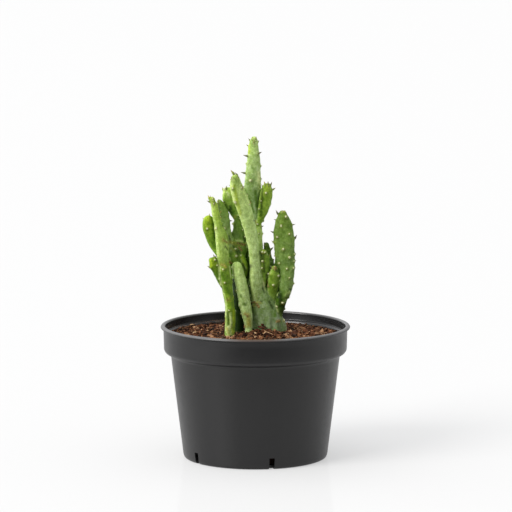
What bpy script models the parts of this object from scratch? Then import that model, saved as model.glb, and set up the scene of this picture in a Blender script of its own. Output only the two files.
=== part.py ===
"""A drooping prickly pear of the knobbly, many-padded form, in a round 14 cm nursery pot.

Blender 4.5, metres, +Z up. The origin is the centre of the pot's underside.
The front of the plant faces -Y. Sizes below are in millimetres and are scaled once, by MM.
"""
import math
import random

import bmesh
import bpy
from mathutils import Vector

MM = 0.001

# Steepest edge, in degrees, that is still shaded smooth
POT_SMOOTHING = 35
SOIL_SMOOTHING = 25
STEM_SMOOTHING = 50

# Pot: a turned shell with a rolled lip, a straight collar and a tapering body
POT_HEIGHT = 99.4
LIP_RADIUS = 70.6
LIP_HEIGHT = 2.1
COLLAR_RADIUS = 68.6
COLLAR_HEIGHT = 17.5
SHOULDER_HEIGHT = 3.4
BODY_TOP_RADIUS = 63.0
BODY_FOOT_RADIUS = 54.0
FOOT_ROUND = 2.4
WALL = 1.5
FLOOR = 2.0
LEDGE_DEPTH = 6.6
LEDGE_WIDTH = 2.5
CORNER = 0.8
BEND = 1.5
FLOOR_ROUND = 2.0
POT_SEGMENTS = 54

# Drainage slots in the bottom corner
SLOT_COUNT = 5
SLOT_WIDTH = 4.0
SLOT_TOP = 8.6
SLOT_REACH = 6.0
SLOT_START = -1.0
SLOT_LEFT_OF_FRONT = 53.0
SLOT_RIGHT_OF_FRONT = 13.0

# Soil: granules and bark chips, heaped a little round the stems
SOIL_LEVEL = 90.6
SOIL_EDGE_CLEARANCE = 0.35
MOUND_HEIGHT = 3.4
MOUND_RADIUS = 27.0
MOUND_CENTRE = (3.0, 8.0)
SOIL_RELIEF = 1.2
CALM_EDGE = 0.4
SOIL_SECTORS = 42
SOIL_RINGS = 11
SECTOR_WANDER = 0.3
SOIL_SEED = 11

# Chips of bark lying half sunk in the surface: ranges of their sizes and of the wear of their corners
CHIP_COUNT = 26
CHIP_REACH = 57.0
CHIP_CENTRE_BARE = 0.03
CHIP_LENGTH = (5.0, 9.0)
CHIP_SLENDERNESS = (0.4, 0.65)
CHIP_HEIGHT = (2.4, 3.6)
CHIP_RISE = 0.5
CHIP_TILT = 0.25
CHIP_WEAR = (0.75, 1.1)

# Holes for the stems' feet
FOOT_DEPTH = 74.6
CUTTER_RISE = 11.0
GAP = 0.3
HOLE_GAP = 0.4

# Pads: the level that the heights in their tables count from, the sides and ring spacing of their
# skin, and how the tip is rounded off (in half thicknesses)
PAD_DATUM = -1.4
PAD_SIDES = 10
RING_STEP = 8.0
TANGENT_STEP = 0.05
SECTION_POWER = 2.25
TIP_NARROWING = 0.66
TIP_RISE = 0.62
TIP_LENGTH = 0.9

# Areoles stand in four columns: both edges and both faces, two zigzag rows on a wide face
AREOLE_STEP = 11.5
AREOLE_RADIUS = 1.35
AREOLE_RISE = 0.8
AREOLE_SIDES = 5
AREOLE_LEAN = 0.45
FIRST_AREOLE = 0.45
FACE_STAGGER = 0.45
STEP_WANDER = 0.12
ANGLE_WANDER = 6.0
ZIGZAG_ANGLE = 24.0
WIDE_PAD = 8.5
BARE_BASE = 0.12
BARE_TIP = 0.03
BARE_FOOT = 14.0
LEAF_RADIUS = 0.6
LEAF_LENGTH = 2.6
LEAF_RANGE = (0.75, 1.05)
LEAF_SIDES = 4
CROWN_SPREAD = 0.6
CROWN_DROP = 0.35
ROOT_SINK = 1.3
SPIKE_TURN = 0.3


class Pad:
    """One flattened joint of a stem.

    line: (x, z, width) from its base to its tip, across the front view, z counted from PAD_DATUM
    depth: y at the base and at the tip
    thick: thickness at the base and at the tip
    turn: how far the flat face is turned about the pad's own length, in degrees
    leafy: share of the length, from the tip, whose areoles still carry a small pointed leaf
    """

    def __init__(self, line, depth, thick, turn=0.0, leafy=0.0, foot=False):
        self.line = line
        self.depth = depth
        self.thick = thick
        self.turn = math.radians(turn)
        self.leafy = leafy
        self.foot = foot


STEM_LEFT = [
    # the stem itself, woody where it enters the soil
    Pad([(-19.3, 91, 6.2), (-19.2, 96, 6.6), (-18.8, 101, 7.0), (-18.6, 107, 7.2), (-18.9, 114, 6.2),
         (-19.8, 120, 5.8), (-20.9, 128, 7.2), (-21.9, 135, 9.0), (-22.8, 142, 9.2), (-23.3, 147, 7.6)],
        (-4, -6), (6.0, 6.0), turn=35, foot=True),
    # the forked upper pad, slim above the fork
    Pad([(-23.2, 142, 5.0), (-23.8, 149, 9.0), (-24.1, 156, 10.2), (-24.8, 165, 10.0), (-25.6, 171, 8.6),
         (-27.0, 176, 6.0), (-28.6, 181, 5.0), (-29.4, 186, 4.8), (-30.4, 191, 4.4), (-31.6, 195.5, 2.8)],
        (-6, -9), (5.5, 4.0), turn=45, leafy=0.35),
    # the rounded pad at the far left
    Pad([(-26.6, 153, 3.4), (-29.2, 158, 5.0), (-31.3, 163, 7.2), (-32.8, 168, 8.6), (-33.9, 173, 9.5),
         (-34.8, 178, 9.2), (-34.8, 181, 6.6)],
        (-5.5, -7), (4.5, 5.0), turn=25, leafy=0.15),
    # the small low pad
    Pad([(-23.2, 129, 3.4), (-25.8, 135, 4.4), (-28.3, 141, 5.6), (-30.3, 146.5, 7.0), (-31.3, 150.6, 6.4)],
        (-6, -9), (4.2, 4.2), turn=25, leafy=0.3),
]

STEM_FRONT = [
    # one club-shaped stem with a rounded pale top
    Pad([(-5.2, 91, 4.9), (-5.0, 98, 5.0), (-5.4, 103, 6.4), (-6.4, 109, 8.6), (-8.0, 116, 9.4),
         (-9.0, 123, 9.2), (-10.3, 130, 9.0), (-11.7, 136, 9.0), (-13.1, 141.5, 8.6), (-13.6, 145, 6.6)],
        (2, 0), (5.2, 6.5), turn=45, foot=True),
]

STEM_MIDDLE = [
    # the shaded stem behind the club-shaped one
    Pad([(-12.2, 91, 7.0), (-12.2, 104, 7.6), (-12.4, 118, 8.0), (-13.0, 132, 8.0), (-13.4, 145, 7.6)],
        (8.5, 9), (6.0, 6.0), turn=8, foot=True),
    # its knobbly crest
    Pad([(-13.2, 140, 6.0), (-13.2, 147, 9.6), (-13.6, 151, 12.0), (-13.6, 155, 14.0), (-12.8, 159, 14.8),
         (-12.4, 162, 12.6)],
        (8.5, 8), (5.5, 6.0), turn=12),
    # the knob on the crest's left shoulder
    Pad([(-15.8, 136, 4.0), (-18.0, 142, 5.4), (-19.5, 148, 6.6), (-20.0, 154, 7.2), (-19.7, 159, 6.4),
         (-19.3, 163, 4.0)],
        (8, 5.5), (4.4, 4.6), turn=15),
    # the dark pad and the spade-shaped pad on it
    Pad([(-13.4, 156, 6.0), (-12.2, 160.5, 12.8), (-12.2, 164, 12.2), (-11.8, 169, 10.4), (-12.3, 173, 7.8),
         (-12.8, 177, 5.6), (-12.9, 180, 3.8)],
        (7.5, 10.5), (5.5, 4.5), turn=10),
    Pad([(-12.7, 176, 3.6), (-13.9, 180.5, 4.8), (-16.0, 185, 7.2), (-18.1, 189.5, 9.5), (-19.3, 194, 10.0),
         (-19.8, 198.3, 9.0), (-20.0, 200.8, 6.4)],
        (10, 6), (4.2, 5.2), turn=20, leafy=0.3),
    # the narrow pad between the left stem and the dark pad
    Pad([(-18.2, 156, 5.4), (-19.3, 164, 5.8), (-21.0, 170.5, 5.4), (-22.2, 176, 6.4), (-23.2, 181, 7.3),
         (-24.1, 186, 7.1), (-25.6, 190, 5.2), (-26.6, 193, 3.4)],
        (6, 2), (4.2, 4.2), turn=30, leafy=0.25),
    # a short pale spur at the right of the crest
    Pad([(-9.6, 134, 3.0), (-7.4, 139.5, 3.6), (-7.8, 145.5, 3.8), (-9.6, 151, 3.0)],
        (8, 5.5), (4.0, 3.8), turn=40, leafy=0.2),
    # a pad on the hidden side
    Pad([(-12.6, 112, 4.0), (-13.4, 121, 7.0), (-14.2, 131, 9.2), (-15.0, 141, 8.8), (-15.4, 147, 5.4)],
        (10, 22), (5.0, 5.0), turn=-25, leafy=0.25),
]

STEM_MAIN = [
    # the thick trunk
    Pad([(9.4, 91, 27.4), (9.2, 95.5, 27.4), (8.2, 100, 26.8), (7.3, 104, 25.0), (6.4, 108.5, 23.4),
         (5.2, 113, 21.4), (3.8, 117.5, 18.8), (2.6, 121.5, 16.8), (1.4, 125.5, 14.6), (0.9, 131, 12.8)],
        (13, 10), (17.0, 8.0), turn=4, foot=True),
    # the light pad that leans to the front and the left
    Pad([(2.8, 110, 8.6), (2.0, 120, 11.2), (1.4, 129, 12.6), (0.7, 136.5, 11.4), (0.0, 143, 9.6),
         (-0.3, 149, 8.6), (-1.0, 156, 8.8), (-2.3, 164, 9.6), (-3.6, 171, 10.6), (-5.3, 178, 11.6),
         (-7.3, 185, 12.6), (-9.2, 191, 13.2), (-11.4, 197, 13.4), (-13.3, 203, 12.4), (-14.5, 208, 9.6),
         (-15.0, 211.8, 5.2)],
        (11.4, -9), (6.6, 5.5), turn=50, leafy=0.25),
    # the stem behind it, which carries the two highest pads
    Pad([(4.9, 117, 6.0), (4.4, 132, 7.0), (2.9, 144, 7.0), (1.9, 154, 7.4), (1.3, 163, 7.2),
         (1.3, 170, 7.0), (1.5, 177, 5.2)],
        (12, 14), (6.0, 6.0), turn=20),
    # the tallest pad
    Pad([(1.0, 173, 4.8), (-0.2, 181, 7.0), (-1.5, 188.5, 9.8), (-2.2, 195, 12.0), (-2.4, 201, 12.5),
         (-2.1, 206, 11.9), (-1.8, 212, 11.0), (-1.4, 219, 10.2), (-1.4, 226, 8.7), (-1.6, 232, 7.5),
         (-1.2, 236, 5.8), (-1.0, 238.6, 4.2)],
        (14, 10), (5.0, 5.0), turn=12, leafy=0.3),
    # the short dark pad beside it
    Pad([(2.0, 174, 3.6), (4.5, 180.5, 5.4), (6.1, 185.5, 7.9), (7.1, 191, 9.3), (7.8, 195.5, 9.7),
         (8.2, 200, 8.8), (8.4, 203.4, 6.4)],
        (13, 9), (4.2, 5.0), turn=25, leafy=0.3),
    # the small pads between the light pad and the big right one
    Pad([(4.6, 126, 4.2), (6.9, 132.5, 4.6), (7.4, 137, 5.4), (7.5, 141, 6.6), (7.5, 146, 7.2),
         (6.8, 151, 6.2), (6.2, 154.5, 4.0)],
        (10.5, 4.5), (4.8, 4.4), turn=30, leafy=0.3),
    Pad([(8.0, 123, 4.8), (12.0, 132.5, 8.0), (11.4, 140, 7.6), (10.2, 146, 6.2), (9.0, 152, 5.0),
         (8.3, 159, 3.0)],
        (13, 16), (4.5, 4.2), turn=20, leafy=0.3),
    Pad([(11.5, 113, 5.2), (13.0, 119, 6.4), (12.9, 124, 7.6), (13.2, 129, 8.6), (13.8, 134, 8.4),
         (14.1, 138.5, 6.6), (14.1, 142.5, 4.0)],
        (13.5, 5.5), (5.0, 4.6), turn=25, leafy=0.2),
    Pad([(-1.0, 125, 5.0), (-2.6, 131, 8.4), (-3.6, 138, 8.8), (-4.6, 146, 8.0), (-5.6, 154, 6.6),
         (-6.4, 161, 4.2)],
        (10, 15), (4.6, 4.4), turn=10, leafy=0.2),
    # the dark neck that carries the big right pad
    Pad([(15.5, 101, 5.0), (17.2, 106, 5.4), (18.0, 110.5, 5.8), (19.0, 115, 7.2), (20.0, 119.5, 8.4),
         (21.2, 124, 7.2)],
        (13, 10), (6.5, 6.0), turn=10),
    # the big right pad
    Pad([(21.8, 119, 6.2), (22.7, 125.5, 8.8), (23.1, 130, 9.8), (23.5, 136, 10.8), (23.3, 142, 11.8),
         (22.4, 149, 13.6), (21.7, 156.5, 15.0), (21.4, 163, 15.4), (21.0, 170, 14.8), (20.9, 175.5, 12.8),
         (20.7, 179.4, 9.6), (20.5, 182.6, 6.0)],
        (10, 8), (5.8, 6.4), turn=10, leafy=0.45),
    # two pads on the hidden side
    Pad([(12.5, 106, 5.4), (15.0, 118, 7.6), (18.4, 133, 10.8), (20.6, 148, 12.2), (21.6, 160, 11.0),
         (21.9, 168, 6.6)],
        (18, 29), (5.6, 5.4), turn=-30, leafy=0.3),
    Pad([(5.0, 108, 5.0), (3.4, 120, 7.0), (1.8, 133, 8.8), (1.0, 146, 8.6), (0.8, 155, 5.2)],
        (18, 31), (5.2, 4.8), turn=35, leafy=0.3),
]

COLOURS = {
    "pot": ((0.035, 0.036, 0.039, 1), 0.42),
    "soil": ((0.105, 0.042, 0.022, 1), 0.95),
    "stem_left": ((0.225, 0.400, 0.060, 1), 0.5),
    "stem_front": ((0.260, 0.410, 0.110, 1), 0.5),
    "stem_middle": ((0.130, 0.270, 0.055, 1), 0.5),
    "stem_main": ((0.190, 0.345, 0.095, 1), 0.5),
}


def clear_scene():
    for item in list(bpy.data.objects):
        bpy.data.objects.remove(item, do_unlink=True)


def material(name):
    colour, roughness = COLOURS[name]
    made = bpy.data.materials.new(name)
    made.use_nodes = True
    shader = made.node_tree.nodes["Principled BSDF"]
    shader.inputs["Base Color"].default_value = colour
    shader.inputs["Roughness"].default_value = roughness
    shader.inputs["Metallic"].default_value = 0.0
    return made


def object_from(bm, name):
    """Turns a bmesh in millimetres into an object in metres."""
    bmesh.ops.scale(bm, vec=(MM, MM, MM), verts=bm.verts)
    bmesh.ops.recalc_face_normals(bm, faces=bm.faces)
    mesh = bpy.data.meshes.new(name)
    bm.to_mesh(mesh)
    bm.free()
    made = bpy.data.objects.new(name, mesh)
    bpy.context.scene.collection.objects.link(made)
    return made


def apply_boolean(target, operation, others):
    """One Boolean with a whole collection, applied, after which the collection's objects go."""
    group = bpy.data.collections.new("tools_of_" + target.name)
    for item in others:
        group.objects.link(item)
    cut = target.modifiers.new("join", "BOOLEAN")
    cut.operation = operation
    cut.solver = "EXACT"
    cut.operand_type = "COLLECTION"
    cut.collection = group
    graph = bpy.context.evaluated_depsgraph_get()
    result = bpy.data.meshes.new_from_object(target.evaluated_get(graph))
    target.modifiers.clear()
    target.data = result
    for item in others:
        bpy.data.objects.remove(item, do_unlink=True)
    bpy.data.collections.remove(group)


def finish(item, smooth_angle):
    item.data.materials.clear()
    item.data.materials.append(material(item.name))
    item.data.shade_smooth()
    item.data.set_sharp_from_angle(angle=math.radians(smooth_angle))


def circle(radius, height, segments):
    angles = [2 * math.pi * i / segments for i in range(segments)]
    return [Vector((radius * math.cos(a), radius * math.sin(a), height)) for a in angles]


def loft(bm, rings, first_apex=None, last_apex=None):
    """Skins a list of equal rings; each end is closed by a flat face or runs to a point."""
    rows = [[bm.verts.new(point) for point in ring] for ring in rings]
    count = len(rows[0])
    for low, high in zip(rows, rows[1:]):
        for i in range(count):
            j = (i + 1) % count
            bm.faces.new((low[i], low[j], high[j], high[i]))
    for row, apex in ((rows[0], first_apex), (rows[-1], last_apex)):
        if apex is None:
            bm.faces.new(row)
            continue
        tip = bm.verts.new(apex)
        for i in range(count):
            bm.faces.new((row[i], row[(i + 1) % count], tip))


def blend_between(values, t):
    """Smooth curve through evenly numbered values, each a tuple, at t counted in steps."""
    last = len(values) - 1
    i = min(int(t), last - 1)
    f = t - i
    p0 = values[max(i - 1, 0)]
    p1 = values[i]
    p2 = values[i + 1]
    p3 = values[min(i + 2, last)]
    out = []
    for a, b, c, d in zip(p0, p1, p2, p3):
        out.append(b + 0.5 * f * (c - a + f * (2 * a - 5 * b + 4 * c - d + f * (3 * (b - c) + d - a))))
    return out


def stations(pad):
    """The pad's stations with their depth and thickness: (x, y, z, width, thickness)."""
    low = pad.line[0][1]
    high = pad.line[-1][1]
    rows = []
    for x, z, width in pad.line:
        share = (z - low) / (high - low)
        y = pad.depth[0] + share * (pad.depth[1] - pad.depth[0])
        thick = pad.thick[0] + share * (pad.thick[1] - pad.thick[0])
        rows.append((x, y, z + PAD_DATUM, width, min(thick, width)))
    return rows


def frame_at(pad, rows, t):
    """Centre, width axis, thickness axis, tangent and half sizes of the pad at t."""
    last = len(rows) - 1
    x, y, z, width, thick = blend_between(rows, t)
    before = Vector(blend_between(rows, max(t - TANGENT_STEP, 0))[:3])
    after = Vector(blend_between(rows, min(t + TANGENT_STEP, last))[:3])
    tangent = (after - before).normalized()
    if pad.foot and t < 1:
        tangent = Vector((0, 0, 1))
    across = Vector((math.cos(pad.turn), math.sin(pad.turn), 0))
    across = (across - tangent * across.dot(tangent)).normalized()
    out = tangent.cross(across)
    return Vector((x, y, z)), across, out, tangent, width / 2, thick / 2


def section_point(centre, across, out, half_width, half_thick, angle):
    """A point on the rounded, slightly squared section of a pad."""
    c = math.cos(angle)
    s = math.sin(angle)
    power = 2 / SECTION_POWER
    u = math.copysign(abs(c) ** power, c) * half_width
    v = math.copysign(abs(s) ** power, s) * half_thick
    return centre + across * u + out * v


def pad_length(rows):
    return sum((Vector(b[:3]) - Vector(a[:3])).length for a, b in zip(rows, rows[1:]))


def ring_places(rows):
    """Steps along the pad at which it gets a ring, about RING_STEP apart."""
    count = max(4, round(pad_length(rows) / RING_STEP))
    last = len(rows) - 1
    return [last * i / count for i in range(count + 1)]


def pad_rings(pad, grow=0.0):
    rows = stations(pad)
    rings = []
    for t in ring_places(rows):
        centre, across, out, tangent, half_width, half_thick = frame_at(pad, rows, t)
        ring = []
        for i in range(PAD_SIDES):
            angle = 2 * math.pi * (i + 0.5) / PAD_SIDES
            ring.append(section_point(centre, across, out, half_width + grow, half_thick + grow, angle))
        rings.append(ring)
    rings.append([centre + (point - centre) * TIP_NARROWING + tangent * (TIP_RISE * half_thick)
                  for point in rings[-1]])
    if pad.foot:
        drop = FOOT_DEPTH - grow - rows[0][2]
        rings.insert(0, [point + Vector((0, 0, drop)) for point in rings[0]])
    return rings, centre + tangent * (TIP_LENGTH * half_thick)


def pad_object(pad, name):
    bm = bmesh.new()
    rings, tip = pad_rings(pad)
    loft(bm, rings, last_apex=tip)
    return object_from(bm, name)


def spike_object(base, direction, radius, length, sides, name):
    """A small pointed cone standing on the skin, with its root sunk in."""
    direction = direction.normalized()
    side = direction.orthogonal().normalized()
    other = direction.cross(side)
    root = base - direction * ROOT_SINK
    ring = []
    for i in range(sides):
        angle = 2 * math.pi * (i + SPIKE_TURN) / sides
        ring.append(root + (side * math.cos(angle) + other * math.sin(angle)) * radius)
    bm = bmesh.new()
    loft(bm, [ring], last_apex=base + direction * length)
    return object_from(bm, name)


def areole_spikes(pad, draw, name):
    """Areoles up both edges and both faces; near the tip each carries a small pointed leaf."""
    rows = stations(pad)
    last = len(rows) - 1
    steps = max(2, round(pad_length(rows) / AREOLE_STEP))
    made = []
    for column, heading in enumerate((0.0, 90.0, 180.0, 270.0)):
        on_face = column % 2 == 1
        for i in range(steps):
            wander = draw.uniform(-STEP_WANDER, STEP_WANDER)
            share = (i + FIRST_AREOLE + FACE_STAGGER * on_face + wander) / steps
            if not BARE_BASE < share < 1 - BARE_TIP:
                continue
            centre, across, out, tangent, half_width, half_thick = frame_at(pad, rows, share * last)
            if pad.foot and centre.z < SOIL_LEVEL + BARE_FOOT:
                continue
            zigzag = 0.0
            if on_face and 2 * half_width > WIDE_PAD:
                zigzag = ZIGZAG_ANGLE * (1 if i % 2 else -1)
            angle = math.radians(heading + zigzag + draw.uniform(-ANGLE_WANDER, ANGLE_WANDER))
            base = section_point(centre, across, out, half_width, half_thick, angle)
            normal = across * math.cos(angle) * half_thick + out * math.sin(angle) * half_width
            direction = normal.normalized() + tangent * AREOLE_LEAN
            if share > 1 - pad.leafy:
                length = LEAF_LENGTH * draw.uniform(*LEAF_RANGE)
                made.append(spike_object(base, direction, LEAF_RADIUS, length, LEAF_SIDES, name))
            else:
                made.append(spike_object(base, direction, AREOLE_RADIUS, AREOLE_RISE, AREOLE_SIDES, name))
    return made


def tip_leaves(pad, draw, name):
    """Three small leaves that crown a growing tip."""
    rows = stations(pad)
    centre, across, out, tangent, half_width, half_thick = frame_at(pad, rows, len(rows) - 1)
    made = []
    for side in (-1, 0, 1):
        rise = TIP_LENGTH * half_thick * (1 - CROWN_DROP * abs(side))
        base = centre + across * (side * half_width * CROWN_SPREAD) + tangent * rise
        sway = draw.uniform(-CROWN_SPREAD, CROWN_SPREAD)
        direction = tangent + across * (side * CROWN_SPREAD) + out * sway
        length = LEAF_LENGTH * draw.uniform(*LEAF_RANGE)
        made.append(spike_object(base, direction, LEAF_RADIUS, length, LEAF_SIDES, name))
    return made


def build_stem(name, pads, seed):
    draw = random.Random(seed)
    pieces = [pad_object(pad, name + "_pad") for pad in pads]
    for pad in pads:
        pieces += areole_spikes(pad, draw, name + "_areole")
        if pad.leafy:
            pieces += tip_leaves(pad, draw, name + "_leaf")
    stem = pieces.pop(0)
    stem.name = name
    stem.data.name = name
    apply_boolean(stem, "UNION", pieces)
    finish(stem, STEM_SMOOTHING)
    return stem


def pot_profile():
    """Radius and height pairs from the underside's centre, up the outside and down the inside."""
    collar_bottom = POT_HEIGHT - LIP_HEIGHT - COLLAR_HEIGHT
    body_top = collar_bottom - SHOULDER_HEIGHT
    lip_bottom = POT_HEIGHT - LIP_HEIGHT
    ledge = POT_HEIGHT - LEDGE_DEPTH
    inner_collar = COLLAR_RADIUS - WALL
    inner_ledge = inner_collar - LEDGE_WIDTH
    inner_body_top = BODY_TOP_RADIUS - WALL
    inner_foot = BODY_FOOT_RADIUS - WALL
    outside = [
        (BODY_FOOT_RADIUS - FOOT_ROUND, 0.0),
        (BODY_FOOT_RADIUS - CORNER, CORNER / 2),
        (BODY_FOOT_RADIUS, FOOT_ROUND),
        (BODY_TOP_RADIUS, body_top),
        (BODY_TOP_RADIUS + CORNER, body_top + BEND),
        (COLLAR_RADIUS - BEND, collar_bottom - CORNER / 2),
        (COLLAR_RADIUS - CORNER / 2, collar_bottom + BEND),
        (COLLAR_RADIUS, lip_bottom - CORNER / 2),
        (LIP_RADIUS - CORNER, lip_bottom),
        (LIP_RADIUS, lip_bottom + CORNER),
        (LIP_RADIUS, POT_HEIGHT - CORNER),
        (LIP_RADIUS - CORNER, POT_HEIGHT),
    ]
    inside = [
        (inner_collar + CORNER, POT_HEIGHT),
        (inner_collar, POT_HEIGHT - CORNER),
        (inner_collar, ledge + CORNER / 2),
        (inner_ledge + CORNER / 2, ledge),
        (inner_ledge, ledge - CORNER),
        (inner_ledge, collar_bottom),
        (inner_body_top, body_top - CORNER / 2),
        (inner_foot, FLOOR + FLOOR_ROUND),
        (inner_foot - FLOOR_ROUND, FLOOR),
    ]
    return outside, inside


def turned(profile, segments, name, bottom_centre, top_centre):
    """A closed turned solid; both ends of the profile meet the axis."""
    bm = bmesh.new()
    rings = [circle(radius, height, segments) for radius, height in profile]
    loft(bm, rings, first_apex=Vector((0, 0, bottom_centre)), last_apex=Vector((0, 0, top_centre)))
    return object_from(bm, name)


def slot_angles():
    """Two slots stand either side of the front, and the others share the rest of the circle evenly."""
    front = -90.0
    step = (360 - SLOT_LEFT_OF_FRONT - SLOT_RIGHT_OF_FRONT) / (SLOT_COUNT - 1)
    return [math.radians(front + SLOT_RIGHT_OF_FRONT + i * step) for i in range(SLOT_COUNT)]


def slot_cutter(angle):
    """A flat box that opens the wall and the edge of the floor."""
    inner = BODY_FOOT_RADIUS - SLOT_REACH
    outer = BODY_FOOT_RADIUS + SLOT_REACH
    bm = bmesh.new()
    bmesh.ops.create_cube(bm, size=1.0)
    bmesh.ops.scale(bm, vec=(outer - inner, SLOT_WIDTH, SLOT_TOP - SLOT_START), verts=bm.verts)
    bmesh.ops.translate(bm, vec=((outer + inner) / 2, 0, (SLOT_TOP + SLOT_START) / 2), verts=bm.verts)
    for vert in bm.verts:
        x = vert.co.x
        y = vert.co.y
        vert.co.x = x * math.cos(angle) - y * math.sin(angle)
        vert.co.y = x * math.sin(angle) + y * math.cos(angle)
    return object_from(bm, "slot_cutter")


def build_pot():
    outside, inside = pot_profile()
    pot = turned(outside + inside, POT_SEGMENTS, "pot", 0.0, FLOOR)
    apply_boolean(pot, "DIFFERENCE", [slot_cutter(angle) for angle in slot_angles()])
    finish(pot, POT_SMOOTHING)
    return pot


def soil_height(x, y):
    """The smooth heap that the granules lie on."""
    distance = math.hypot(x - MOUND_CENTRE[0], y - MOUND_CENTRE[1])
    return SOIL_LEVEL + MOUND_HEIGHT * math.exp(-(distance / MOUND_RADIUS) ** 2 * 2)


def soil_body(draw):
    _, inside = pot_profile()
    wall = [(radius - SOIL_EDGE_CLEARANCE, height) for radius, height in inside]
    ledge_foot = 4
    side = list(reversed(wall[ledge_foot + 1:]))
    side[0] = (side[0][0], FLOOR + GAP)
    edge = wall[ledge_foot][0]
    bm = bmesh.new()
    rings = [circle(radius, height, SOIL_SECTORS) for radius, height in side]
    for k in range(SOIL_RINGS):
        radius = edge * (1 - k / SOIL_RINGS)
        inner = 0 < k < SOIL_RINGS - 1
        ring = []
        for i in range(SOIL_SECTORS):
            wander = draw.uniform(-SECTOR_WANDER, SECTOR_WANDER) * (k > 0)
            angle = 2 * math.pi * (i + wander) / SOIL_SECTORS
            spread = radius + draw.uniform(-SOIL_RELIEF, SOIL_RELIEF) * inner
            x = spread * math.cos(angle)
            y = spread * math.sin(angle)
            relief = draw.uniform(-SOIL_RELIEF, SOIL_RELIEF) * (1 if inner else CALM_EDGE)
            ring.append(Vector((x, y, soil_height(x, y) + relief)))
        rings.append(ring)
    loft(bm, rings, first_apex=Vector((0, 0, FLOOR + GAP)), last_apex=Vector((0, 0, soil_height(0, 0))))
    return object_from(bm, "soil")


def chip_object(draw):
    """A flat splinter of bark lying half sunk in the surface."""
    radius = CHIP_REACH * math.sqrt(draw.uniform(CHIP_CENTRE_BARE, 1.0))
    heading = draw.uniform(0, 2 * math.pi)
    x = radius * math.cos(heading)
    y = radius * math.sin(heading)
    length = draw.uniform(*CHIP_LENGTH)
    width = length * draw.uniform(*CHIP_SLENDERNESS)
    height = draw.uniform(*CHIP_HEIGHT)
    turn = draw.uniform(0, math.pi)
    tilt = draw.uniform(-CHIP_TILT, CHIP_TILT)
    bm = bmesh.new()
    bmesh.ops.create_cube(bm, size=1.0)
    centre = Vector((x, y, soil_height(x, y) + CHIP_RISE))
    for vert in bm.verts:
        u = vert.co.x * length * draw.uniform(*CHIP_WEAR)
        v = vert.co.y * width * draw.uniform(*CHIP_WEAR)
        w = vert.co.z * height + u * tilt
        vert.co = centre + Vector((u * math.cos(turn) - v * math.sin(turn),
                                   u * math.sin(turn) + v * math.cos(turn), w))
    bmesh.ops.triangulate(bm, faces=bm.faces)
    return object_from(bm, "chip")


def hole_cutter(pad):
    """The plain hole that a stem's foot stands in, a gap wider than the foot all round."""
    rings, _ = pad_rings(pad, grow=HOLE_GAP)
    top = SOIL_LEVEL + MOUND_HEIGHT + CUTTER_RISE
    kept = [ring for ring in rings if min(point.z for point in ring) < top]
    bm = bmesh.new()
    loft(bm, kept)
    return object_from(bm, "hole_cutter")


def build_soil():
    draw = random.Random(SOIL_SEED)
    soil = soil_body(draw)
    apply_boolean(soil, "UNION", [chip_object(draw) for _ in range(CHIP_COUNT)])
    feet = [pad for stem in (STEM_LEFT, STEM_FRONT, STEM_MIDDLE, STEM_MAIN) for pad in stem if pad.foot]
    apply_boolean(soil, "DIFFERENCE", [hole_cutter(pad) for pad in feet])
    finish(soil, SOIL_SMOOTHING)
    return soil


def main():
    clear_scene()
    build_pot()
    build_soil()
    build_stem("stem_left", STEM_LEFT, 3)
    build_stem("stem_front", STEM_FRONT, 4)
    build_stem("stem_middle", STEM_MIDDLE, 5)
    build_stem("stem_main", STEM_MAIN, 6)


main()
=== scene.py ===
"""A drooping prickly pear, knobbly and many-padded, in a round nursery pot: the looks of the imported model.

Blender 4.5. Lengths are in millimetres and are scaled once, by MM, unless a line says otherwise.
A place read from the photograph is given in its own frame of 512 by 512 pixels.
Colours are in linear light.
"""
import math
import random

import bpy
import numpy as np
from mathutils import Matrix, Vector, noise
from mathutils.bvhtree import BVHTree


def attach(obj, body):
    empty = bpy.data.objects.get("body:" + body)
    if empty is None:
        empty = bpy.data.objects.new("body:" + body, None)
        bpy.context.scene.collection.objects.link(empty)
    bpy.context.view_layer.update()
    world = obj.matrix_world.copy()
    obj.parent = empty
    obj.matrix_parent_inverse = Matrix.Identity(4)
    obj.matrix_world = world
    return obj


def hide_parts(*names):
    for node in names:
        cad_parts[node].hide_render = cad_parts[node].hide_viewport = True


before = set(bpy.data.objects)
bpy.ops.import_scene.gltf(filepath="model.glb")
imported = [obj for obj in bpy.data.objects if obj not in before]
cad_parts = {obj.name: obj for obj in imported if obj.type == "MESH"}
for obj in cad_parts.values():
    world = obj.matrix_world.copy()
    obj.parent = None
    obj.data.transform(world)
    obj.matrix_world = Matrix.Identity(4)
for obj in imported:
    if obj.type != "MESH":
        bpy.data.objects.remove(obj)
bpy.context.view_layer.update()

MM = 0.001
BODY = "root"

# Camera, fitted to the pot's lip, collar and base
PHOTO_SIZE = 512
CAMERA_PLACE = (0.00045, -2.4, 0.4879)
CAMERA_PITCH = 7.990
FOCAL_PIXELS = 3260.0
SENSOR_WIDTH = 36.0

# Studio: a white table, lit through from below, that ends in front of the pot; one soft light from the
# front left; and a room that is brightest overhead and at the left, dimmer to the right and dark behind
# the camera
FLOOR_SIZE = 80.0
FLOOR_FRONT = -0.32
FLOOR_DROP = 0.0001
FLOOR_WHITE = (0.36, 0.36, 0.36, 1.0)
FLOOR_GLOW = 0.47
FLOOR_GLOSS = 0.05
GLOSS_ROUGHNESS = 0.06
KEY_FROM = (-0.66, -0.48, 0.47)
KEY_COLOUR = (1.0, 0.985, 0.96)
KEY_STRENGTH = 2.5
KEY_SPREAD = 34.0
ROOM_COLOUR = (0.985, 0.99, 1.0, 1.0)
ROOM_LEFT = 1.16
ROOM_RIGHT = 0.54
ROOM_FRONT = 0.12
ROOM_TOP = 1.5
ROOM_SEEN = 0.975

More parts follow.
